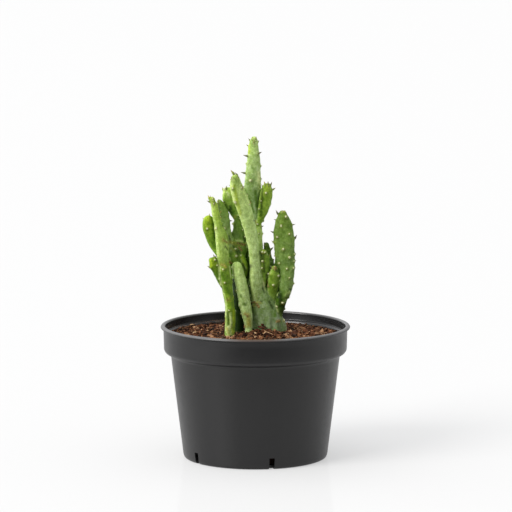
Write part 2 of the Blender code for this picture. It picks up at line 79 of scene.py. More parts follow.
# Pot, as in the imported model
POT_HEIGHT = 99.4
LIP_RADIUS = 70.6
LIP_HEIGHT = 2.1
COLLAR_RADIUS = 68.6
COLLAR_HEIGHT = 17.5
SHOULDER_HEIGHT = 3.4
BODY_TOP_RADIUS = 63.0
BODY_FOOT_RADIUS = 54.0
FOOT_ROUND = 2.4
WALL = 1.5
FLOOR = 2.0
LEDGE_DEPTH = 6.6
LEDGE_WIDTH = 2.5
CORNER = 0.8
BEND = 1.5
FLOOR_ROUND = 2.0
POT_SIDES = 192
POT_RUN = 7.0
POT_SMOOTH = 38.0
FOOT_RING_WIDTH = 5.0
UNDERSIDE_RECESS = 0.7
RECESS_SLOPE = 1.2
CORNER_ROUND = 0.55
BEAD_ROUND = 0.6
SLOT_COUNT = 5
SLOT_WIDTH = 4.0
SLOT_TOP = 8.6
SLOT_REACH = 6.0
SLOT_START = -1.0
SLOT_LEFT_OF_FRONT = 53.0
SLOT_RIGHT_OF_FRONT = 13.0
BODY_TOP = POT_HEIGHT - LIP_HEIGHT - COLLAR_HEIGHT - SHOULDER_HEIGHT

# Where the pot's looks change, in metres: heights at the soil and the lip, radius at the inner wall
SOIL_LINE = (0.0895, 0.0910)
LIP_LINE = (0.0955, 0.0970)
INNER_WALL = (0.0674, 0.0678)

# Soil; granules and chips are modelled 1 mm across, in these shapes, and scattered in these sizes: rise
# counts from the heap, and tints has the middle tint and its spread
SOIL_LEVEL = 90.6
MOUND_HEIGHT = 3.4
MOUND_RADIUS = 27.0
MOUND_CENTRE = (3.0, 8.0)
SOIL_RADIUS = 64.2
BANK_WIDTH = 4.5
BANK_RISE = 1.6
SLOT_HOLLOW = 8.0
BED_SINK = 1.2
BED_RELIEF = 0.9
BED_SIDES = 110
BED_RINGS = 34
GRIT_COUNT = 5200
GRIT_SHAPES = ((1.5, 0.75, 0.6), (1.1, 0.9, 0.7), (1.9, 0.6, 0.45), (1.2, 1.0, 0.45))
GRIT_SPREAD = {"sizes": (1.2, 2.8), "rise": (-1.1, 0.8), "edge": 63.8, "tints": (0.42, 0.29)}
BARK_COUNT = 460
BARK_SHAPES = ((1.0, 0.55, 0.3), (1.0, 0.4, 0.26), (1.0, 0.7, 0.36))
BARK_SPREAD = {"sizes": (2.2, 4.6), "rise": (0.0, 1.1), "edge": 61.0, "tints": (0.44, 0.26)}
LUMP_RISE = 1.0
LAY_TILT = 0.7
FOOT_SHARE = 0.93
FIBRE_COUNT = 40
FIBRE_EDGE = 58.0
FOOT_DEPTH = 74.6

# Stems; the heights in the pads' tables count from PAD_DATUM. Swellings have a rise, a width and a seed
PAD_DATUM = -1.4
PAD_SIDES = 20
RING_STEP = 3.0
TIP_ROUNDING = ((0.34, 0.93), (0.62, 0.77), (0.82, 0.52), (0.92, 0.22))
SKIN_VOXEL = 0.56
SKIN_SWELL = 0.35
SWELLINGS = ((0.28, 6.5, 1), (0.14, 2.4, 2))
SURVEY_STEP = 1.5
RIM_RISE = 0.35
CROWDING_REACH = 13.0
PLEAT_HEIGHT = 20.0
PLEAT_FADE = 16.0
PLEAT_RISE = 0.55
PLEAT_COUNT = 9
TRUNK_CENTRE = (9, 13)
WOOD_HEIGHT = 5.0
WOOD_FADE = 5.0
AREOLE_RISE = 0.6
AREOLE_STEP = 9.5
AREOLE_APART = 4.2
AREOLE_START = 14.0
AREOLE_OFF = 1.2
FACES_CAMERA = -0.25
SEAT_REACH = 9.0
SEAT_LEAN = 0.5
SEARCH_DEPTHS = range(-18, 24, 2)
TUFT_SHAPES = ((1.0, 1.0, 0.55), (1.25, 0.8, 0.5), (0.85, 0.95, 0.62))
TUFT_HAIRS = 18
HAIR_LENGTH = 0.62
LEAF_WOOL = 0.9
LEAF_SINK = 0.3

# Colours; a scale of tones is given by its stops
SKIN_GREENS = ((0.0, (0.012, 0.030, 0.002)), (0.12, (0.036, 0.084, 0.004)), (0.3, (0.105, 0.205, 0.010)),
               (0.55, (0.200, 0.340, 0.022)), (0.8, (0.340, 0.500, 0.060)), (1.0, (0.520, 0.700, 0.160)))
WAX_SHARES = (("Red", 0.76), ("Green", 0.98), ("Blue", 0.54))
YOUNG_GREEN = (0.360, 0.480, 0.018, 1.0)
PALE_EDGE = (0.500, 0.590, 0.230, 1.0)
# painted shade under areoles, in the trunk's folds and where deep and soft marks lie
PAINTED_SHADE_GREEN = (0.085, 0.175, 0.010, 1.0)
# painted shade in gaps and recesses between stems, and the scar's own dark spots
SHADE_AND_DARK_SPOT_GREEN = (0.016, 0.036, 0.003, 1.0)
TAN_TONES = ((0.3, (0.190, 0.155, 0.010)), (0.5, (0.330, 0.305, 0.040)), (0.7, (0.540, 0.510, 0.160)))
FLECK = (0.400, 0.480, 0.180, 1.0)
CORK_TONES = ((0.3, (0.090, 0.060, 0.014)), (0.5, (0.250, 0.180, 0.050)), (0.7, (0.460, 0.370, 0.180)))
# painted shade, laid on where skins crowd each other
CREVICE_SHADE_TINT = (0.34, 0.46, 0.16, 1.0)
GRAIN_TONES = ((0.35, (0.82, 0.86, 0.76)), (0.65, (1.18, 1.15, 1.22)))
MOTTLE_TONES = ((0.3, (0.74, 0.79, 0.68)), (0.7, (1.24, 1.21, 1.30)))
STREAK_TONES = ((0.3, (0.82, 0.85, 0.80)), (0.7, (1.16, 1.14, 1.18)))
WOOL_TONES = ((0.0, (0.36, 0.33, 0.10)), (0.2, (0.60, 0.63, 0.28)), (0.5, (0.78, 0.83, 0.50)))
LIVING_LEAF = ((0.0, (0.20, 0.34, 0.04)), (0.55, (0.42, 0.46, 0.06)), (0.85, (0.55, 0.32, 0.08)),
               (1.0, (0.40, 0.12, 0.03)))
DRIED_LEAF = ((0.0, (0.14, 0.19, 0.03)), (0.35, (0.11, 0.11, 0.045)), (1.0, (0.060, 0.046, 0.030)))
BARK_TONES = ((0.0, (0.008, 0.003, 0.002)), (0.25, (0.045, 0.014, 0.006)), (0.5, (0.120, 0.042, 0.017)),
              (0.74, (0.235, 0.105, 0.045)), (1.0, (0.520, 0.340, 0.190)))
BARK_DUST = (0.33, 0.20, 0.11, 1.0)
CHARCOAL_TONES = ((0.3, (0.0040, 0.0039, 0.0042)), (0.7, (0.0070, 0.0069, 0.0072)))
POT_DUST = (0.20, 0.12, 0.075, 1.0)
SOILED_LIP = (0.085, 0.055, 0.042, 1.0)
# light grey on the lip's top: partly scuffing, partly a painted highlight
SCUFFED_LIP_HIGHLIGHT = (0.135, 0.133, 0.135, 1.0)


class Pad:
    """One flattened joint of a stem, with the looks of its skin.

    line: (x, z, width) from its base to its tip, across the front view
    depth and thick: y and thickness, at the base and at the tip
    turn: how far the flat face is turned about the pad's own length, in degrees
    leafy: share of the length, from the tip, whose areoles still carry a small pointed leaf
    tone: 0 nearly black green to 1 pale green, or two of them, for its base and its tip
    bloom: grey waxy bloom; young: yellow green towards the tip; rim: pale edges
    """

    def __init__(self, line, depth, thick, turn=0.0, leafy=0.0, foot=False,
                 tone=0.4, bloom=0.1, young=0.0, rim=0.3):
        self.line = line
        self.depth = depth
        self.thick = thick
        self.turn = math.radians(turn)
        self.leafy = leafy
        self.foot = foot
        self.tone = tone if isinstance(tone, tuple) else (tone, tone)
        self.bloom = bloom
        self.young = young
        self.rim = rim


STEM_LEFT = [
    # the stem itself, woody where it enters the soil
    Pad([(-19.3, 91, 6.2), (-19.2, 96, 6.6), (-18.8, 101, 7.0), (-18.6, 107, 7.2), (-18.9, 114, 6.2),
         (-19.8, 120, 5.8), (-20.9, 128, 7.2), (-21.9, 135, 9.0), (-22.8, 142, 9.2), (-23.3, 147, 7.6)],
        (-4, -6), (6.0, 6.0), turn=35, foot=True, tone=(0.60, 0.50), bloom=0.0, rim=0.9),
    # the forked upper pad, slim above the fork
    Pad([(-23.2, 142, 5.0), (-23.8, 149, 9.0), (-24.1, 156, 10.2), (-24.8, 165, 10.0), (-25.6, 171, 8.6),
         (-27.0, 176, 6.0), (-28.6, 181, 5.0), (-29.4, 186, 4.8), (-30.4, 191, 4.4), (-31.6, 195.5, 2.8)],
        (-6, -9), (5.5, 4.0), turn=45, leafy=0.35, tone=0.82, bloom=0.15, young=0.4, rim=0.9),
    # the rounded pad at the far left
    Pad([(-26.6, 153, 3.4), (-29.2, 158, 5.0), (-31.3, 163, 7.2), (-32.8, 168, 8.6), (-33.9, 173, 9.5),
         (-34.8, 178, 9.2), (-34.8, 181, 6.6)],
        (-5.5, -7), (4.5, 5.0), turn=25, leafy=0.15, tone=0.4, bloom=0.0, young=0.6),
    # the small low pad
    Pad([(-23.2, 129, 3.4), (-25.8, 135, 4.4), (-28.3, 141, 5.6), (-30.3, 146.5, 7.0), (-31.3, 150.6, 6.4)],
        (-6, -9), (4.2, 4.2), turn=25, leafy=0.3, tone=0.24, bloom=0.0, young=0.45),
]

STEM_FRONT = [
    # one club-shaped stem with a rounded pale top
    Pad([(-5.2, 91, 4.9), (-5.0, 98, 5.0), (-5.4, 103, 6.4), (-6.4, 109, 8.6), (-8.0, 116, 9.4),
         (-9.0, 123, 9.2), (-10.3, 130, 9.0), (-11.7, 136, 9.0), (-13.1, 141.5, 8.6), (-13.6, 145, 6.6)],
        (2, 0), (5.2, 6.5), turn=45, foot=True, tone=(0.97, 1.0), bloom=0.6, rim=0.6),
]

STEM_MIDDLE = [
    # the shaded stem behind the club-shaped one; its tone below zero, nearly black, paints that shade
    Pad([(-12.2, 91, 7.0), (-12.2, 104, 7.6), (-12.4, 118, 8.0), (-13.0, 132, 8.0), (-13.4, 145, 7.6)],
        (8.5, 9), (6.0, 6.0), turn=8, foot=True, tone=-0.25, bloom=0.0, rim=0.0),
    # its knobbly crest
    Pad([(-13.2, 140, 6.0), (-13.2, 147, 9.6), (-13.6, 151, 12.0), (-13.6, 155, 14.0), (-12.8, 159, 14.8),
         (-12.4, 162, 12.6)],
        (8.5, 8), (5.5, 6.0), turn=12, tone=0.47, bloom=0.2, rim=0.4),
    # the knob on the crest's left shoulder
    Pad([(-15.8, 136, 4.0), (-18.0, 142, 5.4), (-19.5, 148, 6.6), (-20.0, 154, 7.2), (-19.7, 159, 6.4),
         (-19.3, 163, 4.0)],
        (8, 5.5), (4.4, 4.6), turn=15, tone=0.36, bloom=0.1, rim=0.3),
    # the dark pad and the spade-shaped pad on it
    Pad([(-13.4, 156, 6.0), (-12.2, 160.5, 12.8), (-12.2, 164, 12.2), (-11.8, 169, 10.4), (-12.3, 173, 7.8),
         (-12.8, 177, 5.6), (-12.9, 180, 3.8)],
        (7.5, 10.5), (5.5, 4.5), turn=10, tone=0.43, bloom=0.4, rim=0.2),
    Pad([(-12.7, 176, 3.6), (-13.9, 180.5, 4.8), (-16.0, 185, 7.2), (-18.1, 189.5, 9.5), (-19.3, 194, 10.0),
         (-19.8, 198.3, 9.0), (-20.0, 200.8, 6.4)],
        (10, 6), (4.2, 5.2), turn=20, leafy=0.3, tone=(0.42, 0.86), bloom=0.25, young=0.2, rim=0.5),
    # the narrow pad between the left stem and the dark pad
    Pad([(-18.2, 156, 5.4), (-19.3, 164, 5.8), (-21.0, 170.5, 5.4), (-22.2, 176, 6.4), (-23.2, 181, 7.3),
         (-24.1, 186, 7.1), (-25.6, 190, 5.2), (-26.6, 193, 3.4)],
        (6, 2), (4.2, 4.2), turn=30, leafy=0.25, tone=(0.78, 0.54), bloom=0.6, young=0.1),
    # a short pale spur at the right of the crest
    Pad([(-9.6, 134, 3.0), (-7.4, 139.5, 3.6), (-7.8, 145.5, 3.8), (-9.6, 151, 3.0)],
        (8, 5.5), (4.0, 3.8), turn=40, leafy=0.2, tone=0.6, bloom=0.0, young=0.2, rim=0.6),
    # a pad on the hidden side
    Pad([(-12.6, 112, 4.0), (-13.4, 121, 7.0), (-14.2, 131, 9.2), (-15.0, 141, 8.8), (-15.4, 147, 5.4)],
        (10, 22), (5.0, 5.0), turn=-25, leafy=0.25, tone=0.4, young=0.3),
]

STEM_MAIN = [
    # the thick trunk
    Pad([(9.4, 91, 27.4), (9.2, 95.5, 27.4), (8.2, 100, 26.8), (7.3, 104, 25.0), (6.4, 108.5, 23.4),
         (5.2, 113, 21.4), (3.8, 117.5, 18.8), (2.6, 121.5, 16.8), (1.4, 125.5, 14.6), (0.9, 131, 12.8)],
        (13, 10), (17.0, 8.0), turn=4, foot=True, tone=(0.45, 0.50), bloom=1.0, rim=0.1),
    # the light pad that leans to the front and the left
    Pad([(2.8, 110, 8.6), (2.0, 120, 11.2), (1.4, 129, 12.6), (0.7, 136.5, 11.4), (0.0, 143, 9.6),
         (-0.3, 149, 8.6), (-1.0, 156, 8.8), (-2.3, 164, 9.6), (-3.6, 171, 10.6), (-5.3, 178, 11.6),
         (-7.3, 185, 12.6), (-9.2, 191, 13.2), (-11.4, 197, 13.4), (-13.3, 203, 12.4), (-14.5, 208, 9.6),
         (-15.0, 211.8, 5.2)],
        (11.4, -9), (6.6, 5.5), turn=50, leafy=0.25, tone=(0.92, 1.02), bloom=0.5, young=0.3, rim=0.8),
    # the stem behind it, which carries the two highest pads
    Pad([(4.9, 117, 6.0), (4.4, 132, 7.0), (2.9, 144, 7.0), (1.9, 154, 7.4), (1.3, 163, 7.2),
         (1.3, 170, 7.0), (1.5, 177, 5.2)],
        (12, 14), (6.0, 6.0), turn=20, tone=0.88, bloom=0.35),
    # the tallest pad
    Pad([(1.0, 173, 4.8), (-0.2, 181, 7.0), (-1.5, 188.5, 9.8), (-2.2, 195, 12.0), (-2.4, 201, 12.5),
         (-2.1, 206, 11.9), (-1.8, 212, 11.0), (-1.4, 219, 10.2), (-1.4, 226, 8.7), (-1.6, 232, 7.5),
         (-1.2, 236, 5.8), (-1.0, 238.6, 4.2)],
        (14, 10), (5.0, 5.0), turn=12, leafy=0.3, tone=(0.57, 1.00), bloom=0.8, young=0.2, rim=0.25),
    # the short dark pad beside it
    Pad([(2.0, 174, 3.6), (4.5, 180.5, 5.4), (6.1, 185.5, 7.9), (7.1, 191, 9.3), (7.8, 195.5, 9.7),
         (8.2, 200, 8.8), (8.4, 203.4, 6.4)],
        (13, 9), (4.2, 5.0), turn=25, leafy=0.3, tone=0.64, bloom=0.0, young=0.25),
    # the small pads between the light pad and the big right one
    Pad([(4.6, 126, 4.2), (6.9, 132.5, 4.6), (7.4, 137, 5.4), (7.5, 141, 6.6), (7.5, 146, 7.2),
         (6.8, 151, 6.2), (6.2, 154.5, 4.0)],
        (10.5, 4.5), (4.8, 4.4), turn=30, leafy=0.3, tone=0.46, young=0.1, rim=0.6),
    Pad([(8.0, 123, 4.8), (12.0, 132.5, 8.0), (11.4, 140, 7.6), (10.2, 146, 6.2), (9.0, 152, 5.0),
         (8.3, 159, 3.0)],
        (13, 16), (4.5, 4.2), turn=20, leafy=0.3, tone=0.25, bloom=0.2),
    Pad([(11.5, 113, 5.2), (13.0, 119, 6.4), (12.9, 124, 7.6), (13.2, 129, 8.6), (13.8, 134, 8.4),
         (14.1, 138.5, 6.6), (14.1, 142.5, 4.0)],
        (13.5, 5.5), (5.0, 4.6), turn=25, leafy=0.2, tone=0.55, rim=0.5),
    Pad([(-1.0, 125, 5.0), (-2.6, 131, 8.4), (-3.6, 138, 8.8), (-4.6, 146, 8.0), (-5.6, 154, 6.6),
         (-6.4, 161, 4.2)],
        (10, 15), (4.6, 4.4), turn=10, leafy=0.2, tone=0.3),
    # the dark neck that carries the big right pad; its near-black tone paints shade as well as its own dark
    # green
    Pad([(15.5, 101, 5.0), (17.2, 106, 5.4), (18.0, 110.5, 5.8), (19.0, 115, 7.2), (20.0, 119.5, 8.4),
         (21.2, 124, 7.2)],
        (13, 10), (6.5, 6.0), turn=10, tone=0.03, bloom=0.0, rim=0.2),
    # the big right pad
    Pad([(21.8, 119, 6.2), (22.7, 125.5, 8.8), (23.1, 130, 9.8), (23.5, 136, 10.8), (23.3, 142, 11.8),
         (22.4, 149, 13.6), (21.7, 156.5, 15.0), (21.4, 163, 15.4), (21.0, 170, 14.8), (20.9, 175.5, 12.8),
         (20.7, 179.4, 9.6), (20.5, 182.6, 6.0)],
        (10, 8), (5.8, 6.4), turn=10, leafy=0.45, tone=(0.48, 0.34), bloom=0.4, young=0.15, rim=0.1),
    # two pads on the hidden side
    Pad([(12.5, 106, 5.4), (15.0, 118, 7.6), (18.4, 133, 10.8), (20.6, 148, 12.2), (21.6, 160, 11.0),
         (21.9, 168, 6.6)],
        (18, 29), (5.6, 5.4), turn=-30, leafy=0.3, tone=0.4, bloom=0.2, young=0.3),
    Pad([(5.0, 108, 5.0), (3.4, 120, 7.0), (1.8, 133, 8.8), (1.0, 146, 8.6), (0.8, 155, 5.2)],
        (18, 31), (5.2, 4.8), turn=35, leafy=0.3, tone=0.5, bloom=0.1, young=0.35),
]

STEMS = {"stem_left": STEM_LEFT, "stem_front": STEM_FRONT,
         "stem_middle": STEM_MIDDLE, "stem_main": STEM_MAIN}
STEM_SLOTS = {"stem_left": "stem_bright", "stem_front": "stem_pale", "stem_middle": "stem_dark",
              "stem_main": "stem_grey_green"}

# Areoles that the photograph shows: pixel and width of the wool in millimetres
AREOLES_SEEN = (
    (250.4, 180.5, 2.2), (265.8, 192.8, 1.9), (260.3, 188.9, 1.3), (260.9, 200.9, 1.1), (259.1, 208.9, 1.2),
    (232.5, 188.2, 1.7), (241.3, 187.6, 1.3), (249.2, 204.4, 1.3), (238.1, 215.2, 1.3), (239.5, 218.6, 1.0),
    (241.9, 224.4, 1.2), (242.6, 229.8, 1.0), (244.8, 236.6, 1.2), (234.9, 201.9, 2.4), (224.4, 189.4, 1.6),
    (224.4, 228.2, 2.2), (220.2, 216.5, 1.1), (216.0, 228.2, 1.9), (207.2, 228.6, 1.5), (212.6, 198.6, 1.2),
    (214.9, 259.6, 1.6), (217.1, 265.2, 1.1), (235.6, 248.7, 1.8), (236.3, 255.9, 1.9), (241.0, 255.5, 1.2),
    (223.0, 269.4, 1.5), (224.6, 282.7, 1.3), (229.0, 310.4, 1.4), (237.0, 290.4, 1.3), (239.8, 305.2, 1.3),
    (241.2, 313.6, 1.2), (247.6, 286.0, 1.0), (250.6, 302.0, 1.0), (257.4, 224.0, 1.5), (258.6, 233.5, 1.2),
    (262.3, 251.8, 1.8), (264.8, 252.2, 1.5), (262.3, 261.1, 1.8), (261.9, 268.0, 1.5), (270.7, 266.6, 1.6),
    (270.4, 269.6, 1.2), (278.4, 275.7, 1.8), (273.2, 285.0, 1.9), (282.6, 302.7, 1.8), (276.7, 306.6, 1.5),
    (285.7, 216.6, 1.9), (281.1, 225.8, 1.8), (289.3, 233.8, 1.5), (277.0, 237.0, 1.9), (283.2, 249.0, 2.0),
    (289.5, 257.3, 2.0), (279.1, 263.1, 1.5), (286.8, 268.7, 1.5), (289.3, 277.8, 1.1), (294.4, 254.0, 1.2),
    (294.2, 261.0, 1.3), (293.6, 268.0, 1.3), (284.0, 320.2, 1.6),
)

# Small pointed leaves that the photograph shows: root and tip pixels, and how dry the leaf is
LEAVES_SEEN = (
    (248.6, 156.2, 243.4, 155.2, 0.9), (257.2, 153.7, 261.7, 152.2, 0.9), (245.9, 173.4, 241.2, 172.2, 0.9),
    (250.6, 141.0, 249.2, 138.3, 0.7), (255.2, 140.2, 256.2, 136.4, 0.6), (253.7, 143.6, 253.3, 139.6, 0.5),
    (257.3, 142.0, 258.6, 140.2, 0.5), (248.6, 146.0, 246.7, 144.8, 0.6), (252.4, 139.2, 252.6, 136.6, 0.1),
    (234.2, 174.8, 231.0, 170.2, 0.4), (237.2, 176.0, 234.3, 172.9, 0.7), (232.8, 178.2, 230.9, 176.6, 0.2),
    (231.9, 180.6, 230.4, 179.2, 0.2), (241.0, 187.2, 239.9, 184.9, 0.5), (241.9, 187.4, 244.4, 185.7, 0.8),
    (226.0, 190.0, 226.7, 185.5, 0.8), (224.0, 190.4, 222.8, 187.2, 0.2), (218.3, 202.6, 219.3, 198.9, 0.8),
    (216.6, 204.6, 217.3, 202.4, 0.7), (229.8, 220.6, 232.0, 221.2, 0.9), (210.2, 199.6, 208.9, 195.2, 0.1),
    (211.4, 199.0, 211.0, 195.6, 0.1), (213.0, 200.4, 213.4, 197.2, 0.2), (210.6, 202.2, 207.4, 200.4, 0.8),
    (213.8, 203.8, 215.2, 201.2, 0.8), (209.0, 216.4, 209.8, 214.0, 0.2), (265.2, 185.8, 264.5, 181.2, 0.2),
    (267.9, 185.6, 267.9, 180.9, 0.6), (269.9, 185.8, 271.3, 181.8, 0.8), (278.0, 214.6, 276.2, 210.2, 0.9),
    (276.4, 220.2, 274.2, 219.3, 0.9), (273.9, 232.5, 270.7, 231.3, 0.9), (291.8, 224.9, 295.0, 224.3, 0.9),
    (282.4, 212.4, 281.7, 210.2, 0.6), (284.6, 212.2, 285.1, 210.4, 0.5), (260.6, 226.6, 263.5, 226.0, 0.9),
    (293.8, 254.2, 295.6, 253.4, 0.9), (293.6, 261.2, 295.8, 260.5, 0.9), (293.0, 268.0, 295.2, 267.2, 0.9),
    (214.2, 257.8, 213.4, 254.6, 0.9), (215.6, 257.6, 215.9, 255.2, 0.9), (265.2, 245.2, 264.7, 242.0, 0.9),
)

# Marks on the skin that the photograph shows, by kind: first and last pixel, radius in millimetres. The
# kinds deep and soft, and much of dark, are painted shade rather than marks
MARKS_SEEN = {"young": (
    (249.6, 142.0, 249.2, 152.0, 1.4), (236.0, 198.0, 240.2, 214.0, 1.4), (233.6, 186.0, 235.8, 196.0, 1.7),
    (205.6, 217.0, 212.0, 217.6, 1.7), (210.6, 260.0, 210.8, 266.0, 1.4), (233.2, 310.0, 233.6, 325.0, 0.8),
    (231.6, 328.8, 232.2, 332.0, 0.9), (241.8, 258.4, 245.8, 266.8, 0.6),
), "pale": (
    (227.2, 192.4, 229.2, 196.6, 1.2), (226.8, 326.0, 228.8, 338.0, 1.4), (228.4, 327.0, 230.0, 338.0, 1.8),
    (261.6, 276.4, 265.2, 289.6, 0.6), (258.8, 173.0, 259.4, 192.0, 1.7), (241.2, 258.8, 246.0, 268.4, 0.4),
    (236.0, 240.6, 243.0, 241.6, 0.7), (225.8, 240.2, 226.6, 241.0, 0.6), (228.0, 328.0, 229.0, 336.0, 1.2),
    (260.4, 190.6, 260.9, 203.0, 0.5), (275.0, 304.6, 277.6, 311.6, 0.7), (247.2, 240.8, 248.6, 249.8, 0.6),
    (236.9, 283.0, 237.2, 290.0, 0.6), (237.4, 292.0, 239.4, 303.0, 0.5), (240.3, 306.5, 241.4, 313.4, 0.5),
    (215.8, 231.0, 217.5, 250.0, 0.5), (217.5, 250.0, 218.2, 264.0, 0.6), (218.2, 264.0, 219.6, 279.0, 0.6),
    (219.6, 279.0, 221.2, 285.0, 0.5), (227.5, 251.5, 229.8, 257.6, 0.5), (229.8, 257.6, 230.2, 260.0, 0.5),
    (228.7, 266.5, 230.4, 277.0, 0.5), (226.4, 312.0, 226.2, 316.6, 0.6), (230.0, 313.4, 231.0, 322.6, 0.9),
    (231.0, 322.6, 230.6, 327.0, 0.7), (245.2, 243.0, 246.0, 246.4, 0.6), (246.0, 246.4, 248.0, 250.2, 0.6),
    (266.2, 253.4, 269.9, 261.8, 0.6), (269.9, 261.8, 266.9, 277.0, 0.6), (279.4, 279.8, 277.6, 295.0, 0.7),
    (287.0, 293.2, 289.4, 292.2, 0.9),
), "soft": (
    (249.6, 184.0, 253.2, 202.0, 2.7), (250.2, 178.0, 251.6, 188.0, 2.0), (268.0, 298.0, 273.8, 312.0, 3.2),
    (224.4, 264.0, 226.6, 286.0, 2.0), (246.8, 314.0, 248.8, 326.0, 1.8), (250.4, 139.6, 252.0, 143.0, 1.8),
    (234.0, 177.0, 237.6, 181.4, 2.4), (232.6, 181.6, 234.2, 185.0, 1.6), (226.6, 198.6, 229.6, 206.0, 2.2),
    (209.6, 202.4, 213.8, 205.4, 1.6), (262.0, 186.8, 271.0, 187.6, 1.5), (252.0, 167.0, 254.4, 169.6, 1.2),
), "deep": (
    (255.0, 192.0, 256.6, 206.0, 1.7), (258.8, 199.0, 258.2, 212.0, 1.7), (234.0, 177.8, 236.4, 181.2, 0.7),
    (254.2, 222.0, 258.2, 238.0, 0.5), (245.2, 188.6, 249.8, 199.4, 0.8), (250.6, 200.6, 253.6, 212.0, 0.8),
    (261.4, 209.0, 260.6, 216.0, 1.3), (270.4, 268.0, 270.0, 284.0, 1.2), (252.4, 140.4, 254.2, 142.6, 0.7),
    (240.4, 174.8, 247.2, 190.0, 0.5), (277.6, 300.0, 274.6, 316.0, 1.3), (230.6, 207.0, 233.2, 213.0, 1.6),
    (211.6, 242.0, 214.8, 247.6, 1.2), (214.4, 231.4, 214.9, 240.5, 0.7), (240.8, 294.8, 241.2, 297.2, 0.9),
    (243.4, 303.6, 245.2, 305.0, 1.2), (222.5, 272.5, 226.4, 284.0, 1.7), (226.6, 288.0, 229.8, 293.6, 1.7),
), "dark": (
    (235.3, 173.4, 237.8, 177.2, 0.6), (229.8, 206.4, 231.4, 209.6, 0.8), (218.9, 205.0, 220.6, 216.5, 0.9),
    (222.0, 225.8, 223.4, 227.6, 0.7), (244.4, 328.6, 251.0, 331.4, 1.6), (253.2, 220.4, 254.6, 222.4, 0.6),
    (236.4, 250.4, 238.0, 254.4, 0.8), (243.2, 236.6, 244.8, 241.0, 0.8), (229.2, 236.0, 230.4, 242.0, 0.7),
    (262.6, 288.0, 264.2, 292.6, 0.7), (266.2, 274.4, 266.8, 281.0, 0.9), (231.4, 176.6, 232.2, 179.6, 0.5),
    (262.5, 189.2, 262.1, 200.0, 1.1), (231.6, 212.6, 229.0, 209.0, 0.6), (262.0, 254.5, 262.6, 261.0, 1.0),
    (275.8, 268.8, 277.4, 271.6, 1.0), (255.2, 303.4, 257.6, 305.4, 0.7), (228.2, 259.4, 231.2, 259.8, 0.6),
    (262.5, 191.0, 261.7, 208.0, 0.8), (280.8, 296.0, 281.4, 306.0, 1.2), (263.4, 255.0, 264.4, 272.0, 0.9),
    (213.6, 255.8, 215.4, 257.4, 0.8), (257.4, 305.0, 258.6, 306.4, 0.7), (252.0, 306.6, 252.4, 308.0, 0.7),
    (260.6, 301.2, 261.6, 301.6, 0.6), (249.8, 285.0, 251.2, 293.0, 1.0), (250.6, 298.0, 252.0, 304.0, 0.8),
    (251.0, 266.0, 250.4, 276.0, 1.5), (225.0, 246.2, 227.6, 250.0, 0.6), (228.0, 312.6, 228.8, 324.6, 0.8),
    (232.6, 245.4, 233.8, 247.4, 0.7), (238.6, 250.4, 240.0, 252.8, 0.8), (243.0, 263.0, 245.6, 270.6, 0.6),
    (269.2, 301.6, 272.4, 308.0, 1.1), (289.6, 288.6, 290.8, 290.2, 0.8),
), "tan": (
    (240.8, 185.4, 242.0, 189.6, 0.5), (255.4, 221.0, 256.6, 224.0, 0.8), (231.0, 247.6, 233.6, 250.8, 0.7),
    (219.6, 216.0, 221.0, 218.0, 0.6), (222.4, 239.6, 228.0, 242.6, 1.5), (229.6, 242.0, 235.4, 243.6, 1.3),
    (248.6, 317.0, 249.4, 325.0, 1.7), (234.9, 215.8, 234.3, 219.6, 0.8), (253.6, 303.2, 257.6, 301.8, 0.7),
    (258.2, 301.8, 261.2, 303.2, 0.7), (253.2, 306.0, 255.4, 305.2, 0.8), (283.0, 320.8, 284.6, 320.2, 1.0),
    (242.2, 315.0, 244.3, 322.0, 0.5), (245.0, 313.5, 248.6, 314.6, 1.4), (247.8, 316.0, 248.4, 324.0, 1.5),
    (245.4, 326.0, 246.4, 326.6, 1.0), (221.2, 264.0, 225.6, 266.6, 1.3), (227.6, 263.6, 229.8, 261.0, 0.6),
    (229.8, 261.0, 232.6, 263.4, 0.6), (228.9, 298.4, 229.6, 301.2, 0.9), (226.0, 317.0, 225.0, 320.8, 0.7),
    (227.4, 327.4, 229.6, 335.6, 0.8), (221.8, 240.4, 224.4, 241.6, 0.8), (227.4, 243.2, 232.4, 243.4, 0.8),
    (233.0, 243.2, 239.4, 245.0, 0.9), (239.4, 245.0, 244.6, 244.0, 0.9), (285.0, 211.6, 283.0, 211.8, 0.8),
), "cork": (
    (252.6, 302.6, 255.0, 301.6, 0.7), (228.4, 261.4, 230.6, 262.8, 1.0), (241.0, 187.0, 241.8, 188.8, 0.5),
    (249.6, 200.6, 250.4, 203.2, 0.6), (261.6, 252.8, 264.0, 253.4, 0.5), (274.4, 266.8, 276.4, 268.8, 0.8),
    (237.6, 242.8, 244.4, 244.6, 0.9), (272.0, 267.6, 275.0, 269.6, 0.9), (257.0, 304.0, 258.8, 306.8, 1.0),
    (276.4, 321.6, 279.6, 321.0, 1.3), (245.8, 314.4, 247.6, 316.6, 0.7), (227.2, 299.0, 227.4, 300.2, 0.6),
    (223.4, 240.0, 226.6, 242.6, 0.6), (238.6, 247.2, 241.6, 250.6, 0.9), (267.4, 281.0, 268.8, 286.4, 0.9),
)}

# What a kind of mark does: its mask, its strength and how far it lifts the skin. Deep and soft marks are
# painted shade; dark marks are painted shade in gaps and recesses, besides the scar's own dark spots
MARK_KINDS = {"cork": ("cork", 1.0, 0.12), "tan": ("tan", 1.0, 0.08), "dark": ("dark", 0.9, -0.15),
              "deep": ("deep", 1.0, -0.05), "soft": ("deep", 0.5, 0.0), "young": ("young", 1.0, 0.0),
              "pale": ("pale", 1.2, 0.25)}

